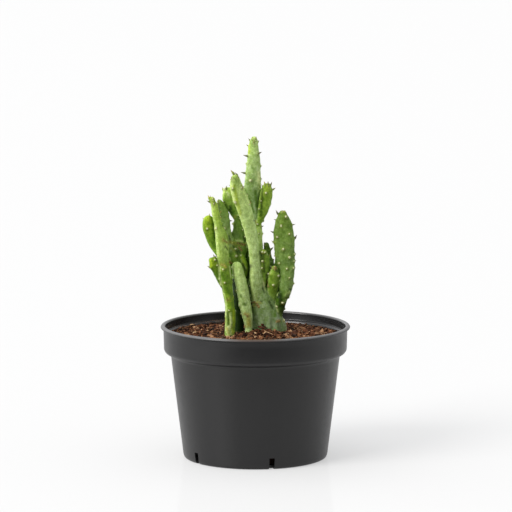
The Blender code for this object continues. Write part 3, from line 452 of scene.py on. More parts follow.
# Lumps of bark that the photograph shows: pixel, size in millimetres, tint, and y where they lean on a stem
LUMPS_SEEN = (
    (301.5, 328.0, 4.4, 0.66), (306.5, 331.0, 5.4, 0.5), (311.0, 328.5, 4.4, 0.4), (305.0, 335.0, 4.4, 0.7),
    (313.0, 334.0, 3.8, 0.5), (259.0, 330.0, 3.8, 0.3, 2.0), (263.0, 330.4, 4.0, 0.4, 2.0),
    (266.4, 330.6, 3.6, 0.3, 2.0), (260.8, 327.2, 3.4, 0.36, 3.4), (264.2, 327.2, 3.4, 0.2, 3.4),
    (262.4, 324.6, 2.8, 0.4, 4.2), (270.4, 331.6, 3.6, 0.7, 2.0), (243.5, 330.0, 4.6, 0.3),
    (239.5, 328.0, 3.4, 0.5), (247.0, 329.0, 4.0, 0.2), (252.4, 331.4, 3.2, 0.66, -1.0),
    (250.0, 333.0, 3.2, 0.2, -2.0), (227.2, 336.6, 3.2, 0.95, -8.0), (230.6, 337.4, 3.0, 0.9, -9.0),
    (233.4, 336.4, 2.8, 0.75, -8.5), (229.0, 338.6, 2.6, 0.98, -12.0), (279.0, 338.0, 3.2, 0.8),
    (330.0, 331.0, 3.4, 0.45), (204.0, 326.0, 3.6, 0.35), (217.0, 327.0, 3.8, 0.5),
    # the near-black lumps at pixels 325 and 321.4 are painted shade at the far right of the soil
    (196.0, 334.0, 3.6, 0.6), (208.0, 331.0, 3.4, 0.85), (325.0, 328.4, 4.0, 0.04),
    (321.4, 329.6, 3.6, 0.1),
)


def deselect():
    for item in bpy.context.selected_objects:
        item.select_set(False)


def work_on(item):
    deselect()
    item.select_set(True)
    bpy.context.view_layer.objects.active = item


def settle(item):
    """Puts the object at the origin, unturned and unscaled, with its place in its mesh."""
    work_on(item)
    bpy.ops.object.transform_apply(location=True, rotation=True, scale=True)


def modify(item, name, kind, **settings):
    made = item.modifiers.new(name, kind)
    for label, value in settings.items():
        setattr(made, label, value)


def apply_all(item):
    work_on(item)
    for name in [modifier.name for modifier in item.modifiers]:
        bpy.ops.object.modifier_apply(modifier=name)


def join(items, name):
    """Joins the objects into the first one, which gets the name."""
    deselect()
    for item in items:
        item.select_set(True)
    bpy.context.view_layer.objects.active = items[0]
    if len(items) > 1:
        bpy.ops.object.join()
    items[0].name = name
    items[0].data.name = name
    return items[0]


def discard(items):
    for item in items:
        bpy.data.objects.remove(item, do_unlink=True)


def copy_of(item, place, **masks):
    """A copy with its own mesh, moved by the matrix; masks are values for its point attributes."""
    made = item.copy()
    made.data = item.data.copy()
    made.data.transform(place)
    for label, value in masks.items():
        fill_mask(made.data, label, value)
    bpy.context.scene.collection.objects.link(made)
    return made


def set_mask(mesh, name, values):
    layer = mesh.attributes.get(name) or mesh.attributes.new(name, "FLOAT", "POINT")
    layer.data.foreach_set("value", np.asarray(values, dtype=np.float32))


def fill_mask(mesh, name, value):
    set_mask(mesh, name, np.full(len(mesh.vertices), value))


def read_points(mesh, label="co"):
    """The places of a mesh's points, or their normals."""
    found = np.empty(len(mesh.vertices) * 3)
    mesh.vertices.foreach_get(label, found)
    return found.reshape(-1, 3)


def set_points(mesh, points):
    mesh.vertices.foreach_set("co", np.asarray(points, dtype=np.float32).ravel())
    mesh.update()


def ring_stack(name, sides, rings, turn=0.0):
    """A closed form drawn up from a filled circle: each ring is (x, y, z, half width, half depth)."""
    deselect()
    x, y, z, wide, deep = (value * MM for value in rings[0])
    bpy.ops.mesh.primitive_circle_add(vertices=sides, radius=1.0, fill_type="NGON", location=(x, y, z))
    item = bpy.context.object
    item.name = name
    bpy.ops.object.mode_set(mode="EDIT")
    bpy.ops.mesh.select_all(action="SELECT")
    bpy.ops.transform.resize(value=(wide, deep, 1.0), center_override=(x, y, z))
    for low, high in zip(rings, rings[1:]):
        move = tuple((high[k] - low[k]) * MM for k in range(3))
        centre = tuple(high[k] * MM for k in range(3))
        bpy.ops.mesh.extrude_region_move(TRANSFORM_OT_translate={"value": move})
        bpy.ops.transform.resize(value=(high[3] / low[3], high[4] / low[4], 1.0), center_override=centre)
    bpy.ops.mesh.select_all(action="SELECT")
    bpy.ops.mesh.normals_make_consistent(inside=False)
    bpy.ops.object.mode_set(mode="OBJECT")
    settle(item)
    if turn:
        item.rotation_euler.z = turn
        settle(item)
    return item


def roughened(proportions, cuts=0, **chance):
    """The primitive that was just added, stretched, cut and pulled out of true."""
    bpy.ops.object.mode_set(mode="EDIT")
    bpy.ops.mesh.select_all(action="SELECT")
    bpy.ops.transform.resize(value=proportions, center_override=(0, 0, 0))
    if cuts:
        bpy.ops.mesh.subdivide(number_cuts=cuts)
    bpy.ops.transform.vertex_random(**chance)
    bpy.ops.object.mode_set(mode="OBJECT")
    return bpy.context.object


def put(item, material, slot, *nodes):
    """Covers the piece; it rides on the plant's one body and stands for the nodes. Its slot is not used."""
    paint(item, material)
    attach(item, BODY)
    if nodes:
        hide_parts(*nodes)


def paint(item, material):
    item.data.materials.clear()
    item.data.materials.append(material)


# Node helpers: most place nodes in a tree and give back an output socket


def put_node(tree, kind, inputs=None, **settings):
    made = tree.nodes.new(kind)
    for label, value in settings.items():
        setattr(made, label, value)
    feed(tree, made, inputs or {})
    return made


def feed(tree, node, inputs):
    """Gives each input its own value, or joins it to the socket that is given for it."""
    for label, value in inputs.items():
        if isinstance(value, bpy.types.NodeSocket):
            tree.links.new(value, node.inputs[label])
        else:
            node.inputs[label].default_value = value


def where(tree):
    return put_node(tree, "ShaderNodeTexCoord").outputs["Object"]


def mask(tree, name):
    return put_node(tree, "ShaderNodeAttribute", attribute_name=name).outputs["Fac"]


def speckle(tree, scale, detail=3.0, stretch=(1.0, 1.0, 1.0)):
    """Noise on the object's own coordinates, 0 to 1; scale is in bumps a metre."""
    spread = put_node(tree, "ShaderNodeMapping", {"Vector": where(tree), "Scale": stretch})
    return put_node(tree, "ShaderNodeTexNoise", {"Vector": spread.outputs["Vector"], "Scale": scale,
                                                 "Detail": detail, "Roughness": 0.55}).outputs["Fac"]


def blend(tree, factor, first, second, mode="MIX"):
    return put_node(tree, "ShaderNodeMix", {0: factor, 6: first, 7: second},
                    data_type="RGBA", blend_type=mode).outputs[2]


def tinted(tree, first, second):
    return blend(tree, 1.0, first, second, "MULTIPLY")


def sums(tree, operation, first, second=0.0, clamp=False):
    return put_node(tree, "ShaderNodeMath", {0: first, 1: second},
                    operation=operation, use_clamp=clamp).outputs[0]


def times(tree, first, second, clamp=False):
    return sums(tree, "MULTIPLY", first, second, clamp)


def plus(tree, first, second):
    return sums(tree, "ADD", first, second)


def stretch_range(tree, value, low, high, to_low=0.0, to_high=1.0):
    return put_node(tree, "ShaderNodeMapRange", {"Value": value, "From Min": low, "From Max": high,
                                                 "To Min": to_low, "To Max": to_high},
                    clamp=True).outputs["Result"]


def scale_of_tones(tree, value, stops):
    """A colour ramp with (place, colour) stops."""
    made = put_node(tree, "ShaderNodeValToRGB", {"Fac": value})
    ramp = made.color_ramp
    while len(ramp.elements) < len(stops):
        ramp.elements.new(0.5)
    for element, (place, colour) in zip(ramp.elements, stops):
        element.position = place
        element.color = (*colour, 1.0)
    return made.outputs["Color"]


def directions(tree, vector):
    """The parts of a vector along X, Y and Z, by name."""
    return put_node(tree, "ShaderNodeSeparateXYZ", {"Vector": vector}).outputs


def new_group(name, inputs, outputs):
    """A node group, the sockets of its inputs and its end; inputs gives values, outputs Float or Color."""
    group = bpy.data.node_groups.new(name, "ShaderNodeTree")
    for label, value in inputs.items():
        socket = group.interface.new_socket(label, in_out="INPUT", socket_type="NodeSocketFloat")
        socket.default_value = value
    for label, kind in outputs.items():
        group.interface.new_socket(label, in_out="OUTPUT", socket_type="NodeSocket" + kind)
    return group, put_node(group, "NodeGroupInput").outputs, put_node(group, "NodeGroupOutput")


def place_group(tree, group, inputs=None):
    return put_node(tree, "ShaderNodeGroup", inputs, node_tree=group).outputs


def new_material(name):
    made = bpy.data.materials.new(name)
    made.use_nodes = True
    return made, made.node_tree, made.node_tree.nodes["Principled BSDF"]


def bump(tree, height, strength, distance):
    return put_node(tree, "ShaderNodeBump", {"Height": height, "Strength": strength,
                                             "Distance": distance}).outputs["Normal"]


# Shared effects


def grain_group():
    """Fine uneven grain of a moulded surface: a value round 0.5 and a height."""
    group, given, out = new_group("fine_grain", {"Scale": 900.0, "Coarse": 0.5},
                                  {"Value": "Float", "Height": "Float"})
    fine = put_node(group, "ShaderNodeTexNoise", {"Vector": where(group), "Scale": given["Scale"],
                                                  "Detail": 4.0}).outputs["Fac"]
    broad_scale = times(group, given["Scale"], 0.12)
    broad = put_node(group, "ShaderNodeTexNoise", {"Vector": where(group), "Scale": broad_scale,
                                                   "Detail": 2.0}).outputs["Fac"]
    feed(group, out, {"Value": blend(group, given["Coarse"], fine, broad), "Height": fine})
    return group


def dust_group():
    """Soil dust in patches: a mask that grows with Amount."""
    group, given, out = new_group("soil_dust", {"Amount": 0.5}, {"Mask": "Float"})
    patches = stretch_range(group, speckle(group, 160.0, 5.0), 0.42, 0.66)
    fine = stretch_range(group, speckle(group, 1300.0), 0.4, 0.7)
    feed(group, out, {"Mask": times(group, times(group, patches, fine), given["Amount"], clamp=True)})
    return group


def skin_group():
    """The cactus skin: tones of green by masks, waxy bloom, mottling, pale rims, corky patches, and painted
    shade under areoles, in folds, in crevices and in the gaps between stems.
    """
    group, _, out = new_group("cactus_skin", {},
                              {"Color": "Color", "Roughness": "Float", "Height": "Float"})
    broad = speckle(group, 95.0)
    patch = speckle(group, 340.0, 4.0)
    medium = speckle(group, 800.0)
    fine = speckle(group, 1500.0)
    streak = speckle(group, 620.0, stretch=(1.0, 1.0, 0.3))
    tone = plus(group, mask(group, "tone"), times(group, sums(group, "SUBTRACT", broad, 0.5), 0.45))
    colour = scale_of_tones(group, tone, SKIN_GREENS)
    split = put_node(group, "ShaderNodeSeparateColor", {"Color": colour})
    wax = put_node(group, "ShaderNodeCombineColor",
                   {channel: times(group, split.outputs["Green"], share) for channel, share in WAX_SHARES})
    bloom = times(group, mask(group, "bloom"), stretch_range(group, patch, 0.3, 0.62, 0.6, 1.0))
    colour = blend(group, bloom, colour, wax.outputs["Color"])
    for kind, strength, paint_over in (
            ("young", stretch_range(group, patch, 0.25, 0.6, 0.6, 1.0), YOUNG_GREEN),
            ("pale", stretch_range(group, patch, 0.3, 0.6, 0.5, 1.0), PALE_EDGE),
            # painted shade under areoles, in the trunk's folds and where deep and soft marks lie
            ("deep", 0.9, PAINTED_SHADE_GREEN),
            # painted shade in gaps and recesses between stems, and the scar's own dark spots
            ("dark", 0.9, SHADE_AND_DARK_SPOT_GREEN),
            ("tan", stretch_range(group, patch, 0.3, 0.6, 0.45, 0.95),
             scale_of_tones(group, fine, TAN_TONES))):
        cover = times(group, mask(group, kind), strength, clamp=True)
        colour = blend(group, cover, colour, paint_over)
    flecks = times(group, stretch_range(group, fine, 0.60, 0.72, 0.0, 0.4),
                   stretch_range(group, tone, 0.1, 0.45))
    colour = blend(group, flecks, colour, FLECK)
    edge = plus(group, mask(group, "cork"), sums(group, "SUBTRACT", patch, 0.5))
    ragged = stretch_range(group, edge, 0.25, 0.8)
    colour = blend(group, ragged, colour, scale_of_tones(group, fine, CORK_TONES))
    # painted shade: the skin is darkened, and made rougher, where other skins shut it in
    crevice_shade = stretch_range(group, mask(group, "crowding"), 0.1, 0.75)
    colour = blend(group, crevice_shade, colour, tinted(group, colour, CREVICE_SHADE_TINT))
    for pattern, tones in ((medium, GRAIN_TONES), (patch, MOTTLE_TONES), (streak, STREAK_TONES)):
        colour = tinted(group, colour, scale_of_tones(group, pattern, tones))
    satin = stretch_range(group, patch, 0.3, 0.7, 0.36, 0.50)
    rough = plus(group, times(group, sums(group, "MAXIMUM", ragged, crevice_shade), 0.4), satin)
    height = times(group, patch, 0.7)
    for pattern, share in ((fine, 0.3), (medium, 1.0), (streak, 0.5), (ragged, 0.4)):
        height = plus(group, height, times(group, pattern, share))
    feed(group, out, {"Color": colour, "Roughness": rough, "Height": height})
    return group


def skin_material(name, group):
    made, tree, shader = new_material(name)
    skin = place_group(tree, group)
    feed(tree, shader, {"Base Color": skin["Color"], "Roughness": skin["Roughness"],
                        "Subsurface Weight": 0.12, "Subsurface Radius": (0.6, 1.0, 0.2),
                        "Subsurface Scale": 0.0016, "Specular IOR Level": 0.16,
                        "Normal": bump(tree, skin["Height"], 0.55, 0.0005)})
    return made


def wool_material():
    """Cream felt of the areoles, a little browner at its root."""
    made, tree, shader = new_material("areole_wool")
    colour = scale_of_tones(tree, mask(tree, "along"), WOOL_TONES)
    grain = stretch_range(tree, speckle(tree, 1800.0), 0.3, 0.7, 0.8, 1.0)
    feed(tree, shader, {"Base Color": tinted(tree, colour, grain), "Roughness": 0.9, "Sheen Weight": 0.3})
    return made


def leaf_material():
    """Small awl-shaped leaves: green at the root, then red-brown and nearly black as they dry."""
    made, tree, shader = new_material("small_leaf")
    colour = blend(tree, mask(tree, "dry"), scale_of_tones(tree, mask(tree, "along"), LIVING_LEAF),
                   scale_of_tones(tree, mask(tree, "along"), DRIED_LEAF))
    grain = stretch_range(tree, speckle(tree, 1500.0), 0.3, 0.7, 0.75, 1.1)
    feed(tree, shader, {"Base Color": tinted(tree, colour, grain), "Roughness": 0.5,
                        "Normal": bump(tree, speckle(tree, 2500.0), 0.3, 0.0001)})
    return made


def bark_material(dust):
    """Granules of bark and coir: each has its own tint, from near black to tan."""
    made, tree, shader = new_material("bark")
    streak = speckle(tree, 700.0, 4.0, stretch=(1.0, 0.45, 1.6))
    shade = plus(tree, mask(tree, "tint"), times(tree, sums(tree, "SUBTRACT", streak, 0.5), 0.7))
    dusty = place_group(tree, dust, {"Amount": 0.2})["Mask"]
    colour = blend(tree, dusty, scale_of_tones(tree, shade, BARK_TONES), BARK_DUST)
    rough = stretch_range(tree, streak, 0.3, 0.7, 0.62, 0.95)
    feed(tree, shader, {"Base Color": colour, "Roughness": rough, "Specular IOR Level": 0.15,
                        "Normal": bump(tree, streak, 0.8, 0.0005)})
    return made


def plastic_material(grain, dust):
    """Charcoal moulded plastic: a satin grain, polished inside the rim, soil dust on what faces up, and a
    light grey painted highlight, with some scuffing, on the lip's top.
    """
    made, tree, shader = new_material("charcoal_plastic")
    texture = place_group(tree, grain, {"Scale": 1400.0, "Coarse": 0.45})
    base = scale_of_tones(tree, speckle(tree, 26.0, stretch=(1.0, 1.0, 0.12)), CHARCOAL_TONES)
    place = directions(tree, where(tree))
    off_middle = sums(tree, "ABSOLUTE", place["X"])
    above_soil = stretch_range(tree, place["Z"], *SOIL_LINE)
    at_lip = stretch_range(tree, place["Z"], *LIP_LINE)
    normal = put_node(tree, "ShaderNodeNewGeometry").outputs["Normal"]
    upward = stretch_range(tree, directions(tree, normal)["Z"], 0.1, 0.7)
    dusty_left = stretch_range(tree, place["X"], -0.010, 0.020, 0.95, 0.10)
    dusty_middle = stretch_range(tree, off_middle, 0.004, 0.026, 0.7, 0.12)
    amount = times(tree, times(tree, above_soil, upward), blend(tree, at_lip, dusty_left, dusty_middle))
    dusty = place_group(tree, dust, {"Amount": amount})["Mask"]
    # the lip's top: soil dust in the middle, and at the sides a light grey painted highlight with some
    # scuffing
    lip_dust_and_highlight = blend(tree, stretch_range(tree, off_middle, 0.010, 0.022), SOILED_LIP, SCUFFED_LIP_HIGHLIGHT)
    wear_and_highlight_cover = times(tree, times(tree, at_lip, upward),
                 stretch_range(tree, texture["Value"], 0.3, 0.6, 0.6, 0.95))
    flat = put_node(tree, "ShaderNodeVectorMath", {0: where(tree), 1: (1.0, 1.0, 0.0)},
                    operation="MULTIPLY")
    radius = put_node(tree, "ShaderNodeVectorMath", {0: flat.outputs["Vector"]}, operation="LENGTH")
    inside = stretch_range(tree, radius.outputs["Value"], *INNER_WALL, 0.18, 0.0)
    satin = sums(tree, "SUBTRACT", stretch_range(tree, texture["Value"], 0.3, 0.7, 0.34, 0.44),
                 times(tree, inside, above_soil))
    feed(tree, shader, {"Base Color": blend(tree, wear_and_highlight_cover, blend(tree, dusty, base, POT_DUST), lip_dust_and_highlight),
                        "Roughness": plus(tree, satin, times(tree, dusty, 0.3)), "IOR": 1.47,
                        "Normal": bump(tree, texture["Height"], 0.22, 0.00012)})
    return made


# Stage


def set_camera():
    lens = bpy.data.cameras.new("camera")
    lens.sensor_width = SENSOR_WIDTH
    lens.lens = FOCAL_PIXELS * SENSOR_WIDTH / PHOTO_SIZE
    lens.clip_end = 200.0
    camera = bpy.data.objects.new("camera", lens)
    camera.location = CAMERA_PLACE
    camera.rotation_euler = (math.radians(90 - CAMERA_PITCH), 0, 0)
    bpy.context.scene.collection.objects.link(camera)
    bpy.context.scene.camera = camera


def sight_line(u, v):
    """Start and direction of the line of sight through a pixel of the photograph."""
    pitch = math.radians(CAMERA_PITCH)
    forward = Vector((0, math.cos(pitch), -math.sin(pitch)))
    up = Vector((0, math.sin(pitch), math.cos(pitch)))
    half = PHOTO_SIZE / 2
    way = forward + Vector((1, 0, 0)) * ((u - half) / FOCAL_PIXELS) + up * ((half - v) / FOCAL_PIXELS)
    return Vector(CAMERA_PLACE) / MM, way.normalized()


def at_depth(u, v, y):
    """The place on a pixel's line of sight that lies at y."""
    start, way = sight_line(u, v)
    return start + way * ((y - start.y) / way.y)


def mix_shaders(tree, factor, first, second):
    return put_node(tree, "ShaderNodeMixShader", {0: factor, 1: first.outputs[0], 2: second.outputs[0]})


def set_floor():
    """A wide white floor, a few hundredths of it glossy. Its part in front of the pot lights nothing."""
    made = bpy.data.materials.new("studio_floor")
    made.use_nodes = True
    tree = made.node_tree
    tree.nodes.clear()
    matt = put_node(tree, "ShaderNodeBsdfDiffuse", {"Color": FLOOR_WHITE})
    glow = put_node(tree, "ShaderNodeEmission", {"Strength": FLOOR_GLOW})
    table = put_node(tree, "ShaderNodeAddShader", {0: matt.outputs[0], 1: glow.outputs[0]})
    gloss = put_node(tree, "ShaderNodeBsdfGlossy", {"Roughness": GLOSS_ROUGHNESS})
    both = mix_shaders(tree, FLOOR_GLOSS, table, gloss)
    put_node(tree, "ShaderNodeOutputMaterial", {"Surface": both.outputs[0]})
    for name, side in (("studio_floor", 1), ("floor_apron", -1)):
        deselect()
        middle = FLOOR_FRONT + side * FLOOR_SIZE / 2
        bpy.ops.mesh.primitive_plane_add(size=FLOOR_SIZE, location=(0, middle, -FLOOR_DROP))
        floor = bpy.context.object
        floor.name = name
        settle(floor)
        paint(floor, made)
    floor.visible_diffuse = False
    floor.visible_glossy = False
    floor.visible_shadow = False


def set_light():
    key = bpy.data.lights.new("key", "SUN")
    key.energy = KEY_STRENGTH
    key.angle = math.radians(KEY_SPREAD)
    key.color = KEY_COLOUR
    lamp = bpy.data.objects.new("key", key)
    lamp.rotation_euler = Vector(KEY_FROM).to_track_quat("Z", "Y").to_euler()
    bpy.context.scene.collection.objects.link(lamp)
    world = bpy.data.worlds.new("studio")
    world.use_nodes = True
    tree = world.node_tree
    tree.nodes.clear()
    way = directions(tree, put_node(tree, "ShaderNodeTexCoord").outputs["Generated"])
    sides = stretch_range(tree, way["X"], -0.8, 0.8, ROOM_LEFT, ROOM_RIGHT)
    ahead = stretch_range(tree, way["Y"], -0.97, -0.45, ROOM_FRONT, 1.0)
    ahead = sums(tree, "MAXIMUM", ahead, stretch_range(tree, way["Z"], 0.15, 0.6))
    above = stretch_range(tree, way["Z"], 0.0, 1.0, 1.0, ROOM_TOP)
    room = times(tree, times(tree, sides, ahead), above)
    lit = put_node(tree, "ShaderNodeBackground", {"Color": ROOM_COLOUR, "Strength": room})
    seen = put_node(tree, "ShaderNodeBackground", {"Strength": ROOM_SEEN})
    by_camera = put_node(tree, "ShaderNodeLightPath").outputs["Is Camera Ray"]
    both = mix_shaders(tree, by_camera, lit, seen)
    put_node(tree, "ShaderNodeOutputWorld", {"Surface": both.outputs[0]})
    bpy.context.scene.world = world
    bpy.context.scene.view_settings.view_transform = "Standard"


# Pot


def pot_profile():
    """Radius and height pairs from the recessed underside up the outside and down the inside."""
    lip_bottom = POT_HEIGHT - LIP_HEIGHT
    collar_bottom = lip_bottom - COLLAR_HEIGHT
    ledge = POT_HEIGHT - LEDGE_DEPTH
    inner_collar = COLLAR_RADIUS - WALL
    inner_ledge = inner_collar - LEDGE_WIDTH
    foot_flat = BODY_FOOT_RADIUS - FOOT_ROUND
    inner_foot = BODY_FOOT_RADIUS - WALL
    return [
        (foot_flat - FOOT_RING_WIDTH - RECESS_SLOPE, UNDERSIDE_RECESS),
        (foot_flat - FOOT_RING_WIDTH, 0.0),
        (foot_flat, 0.0),
        (BODY_FOOT_RADIUS - CORNER, CORNER / 2),
        (BODY_FOOT_RADIUS, FOOT_ROUND),
        (BODY_TOP_RADIUS, BODY_TOP),
        (BODY_TOP_RADIUS + CORNER, BODY_TOP + BEND),
        (COLLAR_RADIUS - BEND, collar_bottom - CORNER / 2),
        (COLLAR_RADIUS - CORNER / 2, collar_bottom + BEND),
        (COLLAR_RADIUS, lip_bottom - CORNER / 2),
        (LIP_RADIUS - BEAD_ROUND / 2, lip_bottom),
        (LIP_RADIUS, lip_bottom + BEAD_ROUND),
        (LIP_RADIUS, POT_HEIGHT - 2 * BEAD_ROUND),
        (LIP_RADIUS - BEAD_ROUND, POT_HEIGHT - BEAD_ROUND / 2),
        (LIP_RADIUS - 3 * BEAD_ROUND, POT_HEIGHT),
        (inner_collar + CORNER, POT_HEIGHT),
        (inner_collar, POT_HEIGHT - CORNER),
        (inner_collar, ledge + CORNER / 2),
        (inner_ledge + CORNER, ledge),
        (inner_ledge, ledge - 2 * CORNER),
        (inner_ledge, collar_bottom),
        (BODY_TOP_RADIUS - WALL, BODY_TOP - CORNER / 2),
        (inner_foot, FLOOR + FLOOR_ROUND),
        (inner_foot - FLOOR_ROUND, FLOOR),
    ]


def rounded(profile, radius, longest):
    """Rounds every corner of a profile with three points and splits its long runs."""
    out = [Vector(profile[0])]
    for before, corner, after in zip(profile, profile[1:], profile[2:]):
        before, corner, after = Vector(before), Vector(corner), Vector(after)
        back = min(radius, (before - corner).length * 0.45)
        ahead = min(radius, (after - corner).length * 0.45)
        start = corner + (before - corner).normalized() * back
        end = corner + (after - corner).normalized() * ahead
        out += [start, start * 0.25 + corner * 0.5 + end * 0.25, end]
    out.append(Vector(profile[-1]))
    split = [out[0]]
    for low, high in zip(out, out[1:]):
        count = max(1, math.ceil((high - low).length / longest))
        split += [low.lerp(high, (i + 1) / count) for i in range(count)]
    return split


def slot_cutters():
    """One block for each drainage slot, joined."""
    cutters = []
    step = (360 - SLOT_LEFT_OF_FRONT - SLOT_RIGHT_OF_FRONT) / (SLOT_COUNT - 1)
    middle = (SLOT_TOP + SLOT_START) / 2
    for i in range(SLOT_COUNT):
        deselect()
        bpy.ops.mesh.primitive_cube_add(size=MM, location=(BODY_FOOT_RADIUS * MM, 0, middle * MM))
        cutter = bpy.context.object
        cutter.scale = (2 * SLOT_REACH, SLOT_WIDTH, SLOT_TOP - SLOT_START)
        settle(cutter)
        cutter.rotation_euler.z = math.radians(-90 + SLOT_RIGHT_OF_FRONT + i * step)
        settle(cutter)
        cutters.append(cutter)
    return join(cutters, "slot_cutters")


def build_pot(plastic):
    rings = [(0, 0, point.y, point.x, point.x) for point in rounded(pot_profile(), CORNER_ROUND, POT_RUN)]
    pot = ring_stack("pot_shell", POT_SIDES, rings)
    cutter = slot_cutters()
    modify(pot, "slots", "BOOLEAN", operation="DIFFERENCE", solver="EXACT", object=cutter)
    apply_all(pot)
    discard([cutter])
    work_on(pot)
    bpy.ops.object.shade_smooth_by_angle(angle=math.radians(POT_SMOOTH))
    put(pot, plastic, "pot_plastic", "pot")


# Soil


def soil_height(x, y):
    """The heap round the stems, and the bank of granules up against the left of the pot's wall."""
    distance = math.hypot(x - MOUND_CENTRE[0], y - MOUND_CENTRE[1])
    bank = max(0.0, (math.hypot(x, y) - SOIL_RADIUS + BANK_WIDTH) / BANK_WIDTH)
    leftness = min(max((10 - x) / 30, 0.0), 1.0)
    heap = MOUND_HEIGHT * math.exp(-(distance / MOUND_RADIUS) ** 2 * 2)
    return SOIL_LEVEL + heap + BANK_RISE * bank * leftness


def in_a_foot(x, y):
    """Whether the place lies inside a stem, a little short of its skin."""
    for pad in [pad for pads in STEMS.values() for pad in pads if pad.foot]:
        foot_x, _, width = pad.line[0]
        dx = x - foot_x
        dy = y - pad.depth[0]
        u = (dx * math.cos(pad.turn) + dy * math.sin(pad.turn)) / (width / 2)
        v = (dy * math.cos(pad.turn) - dx * math.sin(pad.turn)) / (pad.thick[0] / 2)
        if math.hypot(u, v) < FOOT_SHARE:
            return True
    return False


def on_soil(u, v, depth=None):
    """The place seen through a pixel on the heap, or against a stem at the given depth."""
    if depth is not None:
        return at_depth(u, v, depth)
    start, way = sight_line(u, v)
    height = SOIL_LEVEL
    for _ in range(4):
        place = start + way * ((height - start.z) / way.z)
        height = soil_height(place.x, place.y) + LUMP_RISE
    return place


def on_disc(radius, draw):
    """A chance place within the radius."""
    out = radius * math.sqrt(draw.random())
    heading = draw.uniform(0, 2 * math.pi)
    return out * math.cos(heading), out * math.sin(heading)


def build_bed(bark):
    """The filling under the loose granules; it fills the pot down to its floor. Its near-black tint is dark
    soil and also painted shade in the gaps between granules.
    """
    top = SOIL_LEVEL - BED_SINK
    wall = [(BODY_FOOT_RADIUS - SLOT_HOLLOW, FLOOR + 0.3), (BODY_FOOT_RADIUS - SLOT_HOLLOW, SLOT_TOP),
            (BODY_FOOT_RADIUS - WALL, SLOT_TOP + 3.0), (BODY_TOP_RADIUS - WALL - 0.5, BODY_TOP),
            (SOIL_RADIUS - 0.2, SOIL_LEVEL - 8.0)]
    wall += [(SOIL_RADIUS * (1 - k / BED_RINGS), top) for k in range(BED_RINGS)]
    bed = ring_stack("soil_bed", BED_SIDES, [(0, 0, height, radius, radius) for radius, height in wall])
    points = read_points(bed.data) / MM
    for point in points:
        if point[2] > top - 0.01:
            lump = noise.noise(Vector(point) / 3.2) + 0.5 * noise.noise(Vector(point) / 1.3)
            point[2] = soil_height(point[0], point[1]) - BED_SINK + BED_RELIEF * lump
    set_points(bed.data, points * MM)
    # nearly black: dark soil, and painted shade in the gaps between granules
    fill_mask(bed.data, "tint", 0.06)
    bed.data.shade_smooth()
    put(bed, bark, "bark_soil", "soil")


def granule(seed, proportions):
    """One granule of bark, about 1 mm across: a faceted ball pulled out of true."""
    deselect()
    bpy.ops.mesh.primitive_ico_sphere_add(subdivisions=1, radius=0.5 * MM)
    return roughened(proportions, offset=0.19 * MM, uniform=0.1, normal=0.0, seed=seed)


def splinter(seed, proportions):
    """A flat splinter of bark, about 1 mm long, with broken ends."""
    deselect()
    bpy.ops.mesh.primitive_cube_add(size=MM)
    return roughened(proportions, cuts=1, offset=0.16 * MM, uniform=0.2, normal=0.0, seed=seed)


def lay(template, place, size, tint, draw):
    """A copy of the template that lies at a chance angle, with its own tint."""
    turn = Matrix.Rotation(draw.uniform(0, 6.3), 4, "Z")
    turn = turn @ Matrix.Rotation(draw.uniform(-LAY_TILT, LAY_TILT), 4, "X")
    turn = turn @ Matrix.Rotation(draw.uniform(-LAY_TILT, LAY_TILT), 4, "Y")
    where_to = Matrix.Translation(Vector(place) * MM) @ turn @ Matrix.Scale(size, 4)
    return copy_of(template, where_to, tint=min(max(tint, 0.02), 0.98))


def scatter(templates, count, draw, sizes, rise, edge, tints):
    """Copies of the templates over the whole heap, clear of the stems' feet."""
    made = []
    while len(made) < count:
        x, y = on_disc(edge, draw)
        if in_a_foot(x, y):
            continue
        place = (x, y, soil_height(x, y) + draw.uniform(*rise))
        made.append(lay(draw.choice(templates), place, draw.uniform(*sizes), draw.gauss(*tints), draw))
    return made


def gather(made, templates, name, bark):
    discard(templates)
    put(join(made, name), bark, "bark_soil")


def fibre(draw):
    """One thin strand of coir or root thread lying over the granules."""
    middle = on_disc(FIBRE_EDGE, draw)
    deselect()
    bpy.ops.curve.primitive_bezier_curve_add()
    item = bpy.context.object
    item.data.bevel_depth = draw.uniform(0.14, 0.32) * MM
    item.data.bevel_resolution = 0
    item.data.resolution_u = 6
    item.data.use_fill_caps = True
    reach = draw.uniform(2.5, 6.0)
    way = draw.uniform(0, 2 * math.pi)
    for point, side in zip(item.data.splines[0].bezier_points, (-1, 1)):
        x = middle[0] + side * reach * math.cos(way)
        y = middle[1] + side * reach * math.sin(way)
        point.co = Vector((x, y, soil_height(x, y) + draw.uniform(0.6, 1.6))) * MM
        bend = Vector((draw.uniform(-1, 1), draw.uniform(-1, 1), draw.uniform(0.0, 0.5)))
        point.handle_left = point.co + bend * reach * 0.6 * MM
        point.handle_right = point.co - bend * reach * 0.6 * MM
    work_on(item)
    bpy.ops.object.convert(target="MESH")
    item = bpy.context.object
    fill_mask(item.data, "tint", draw.uniform(0.55, 1.0))
    return item


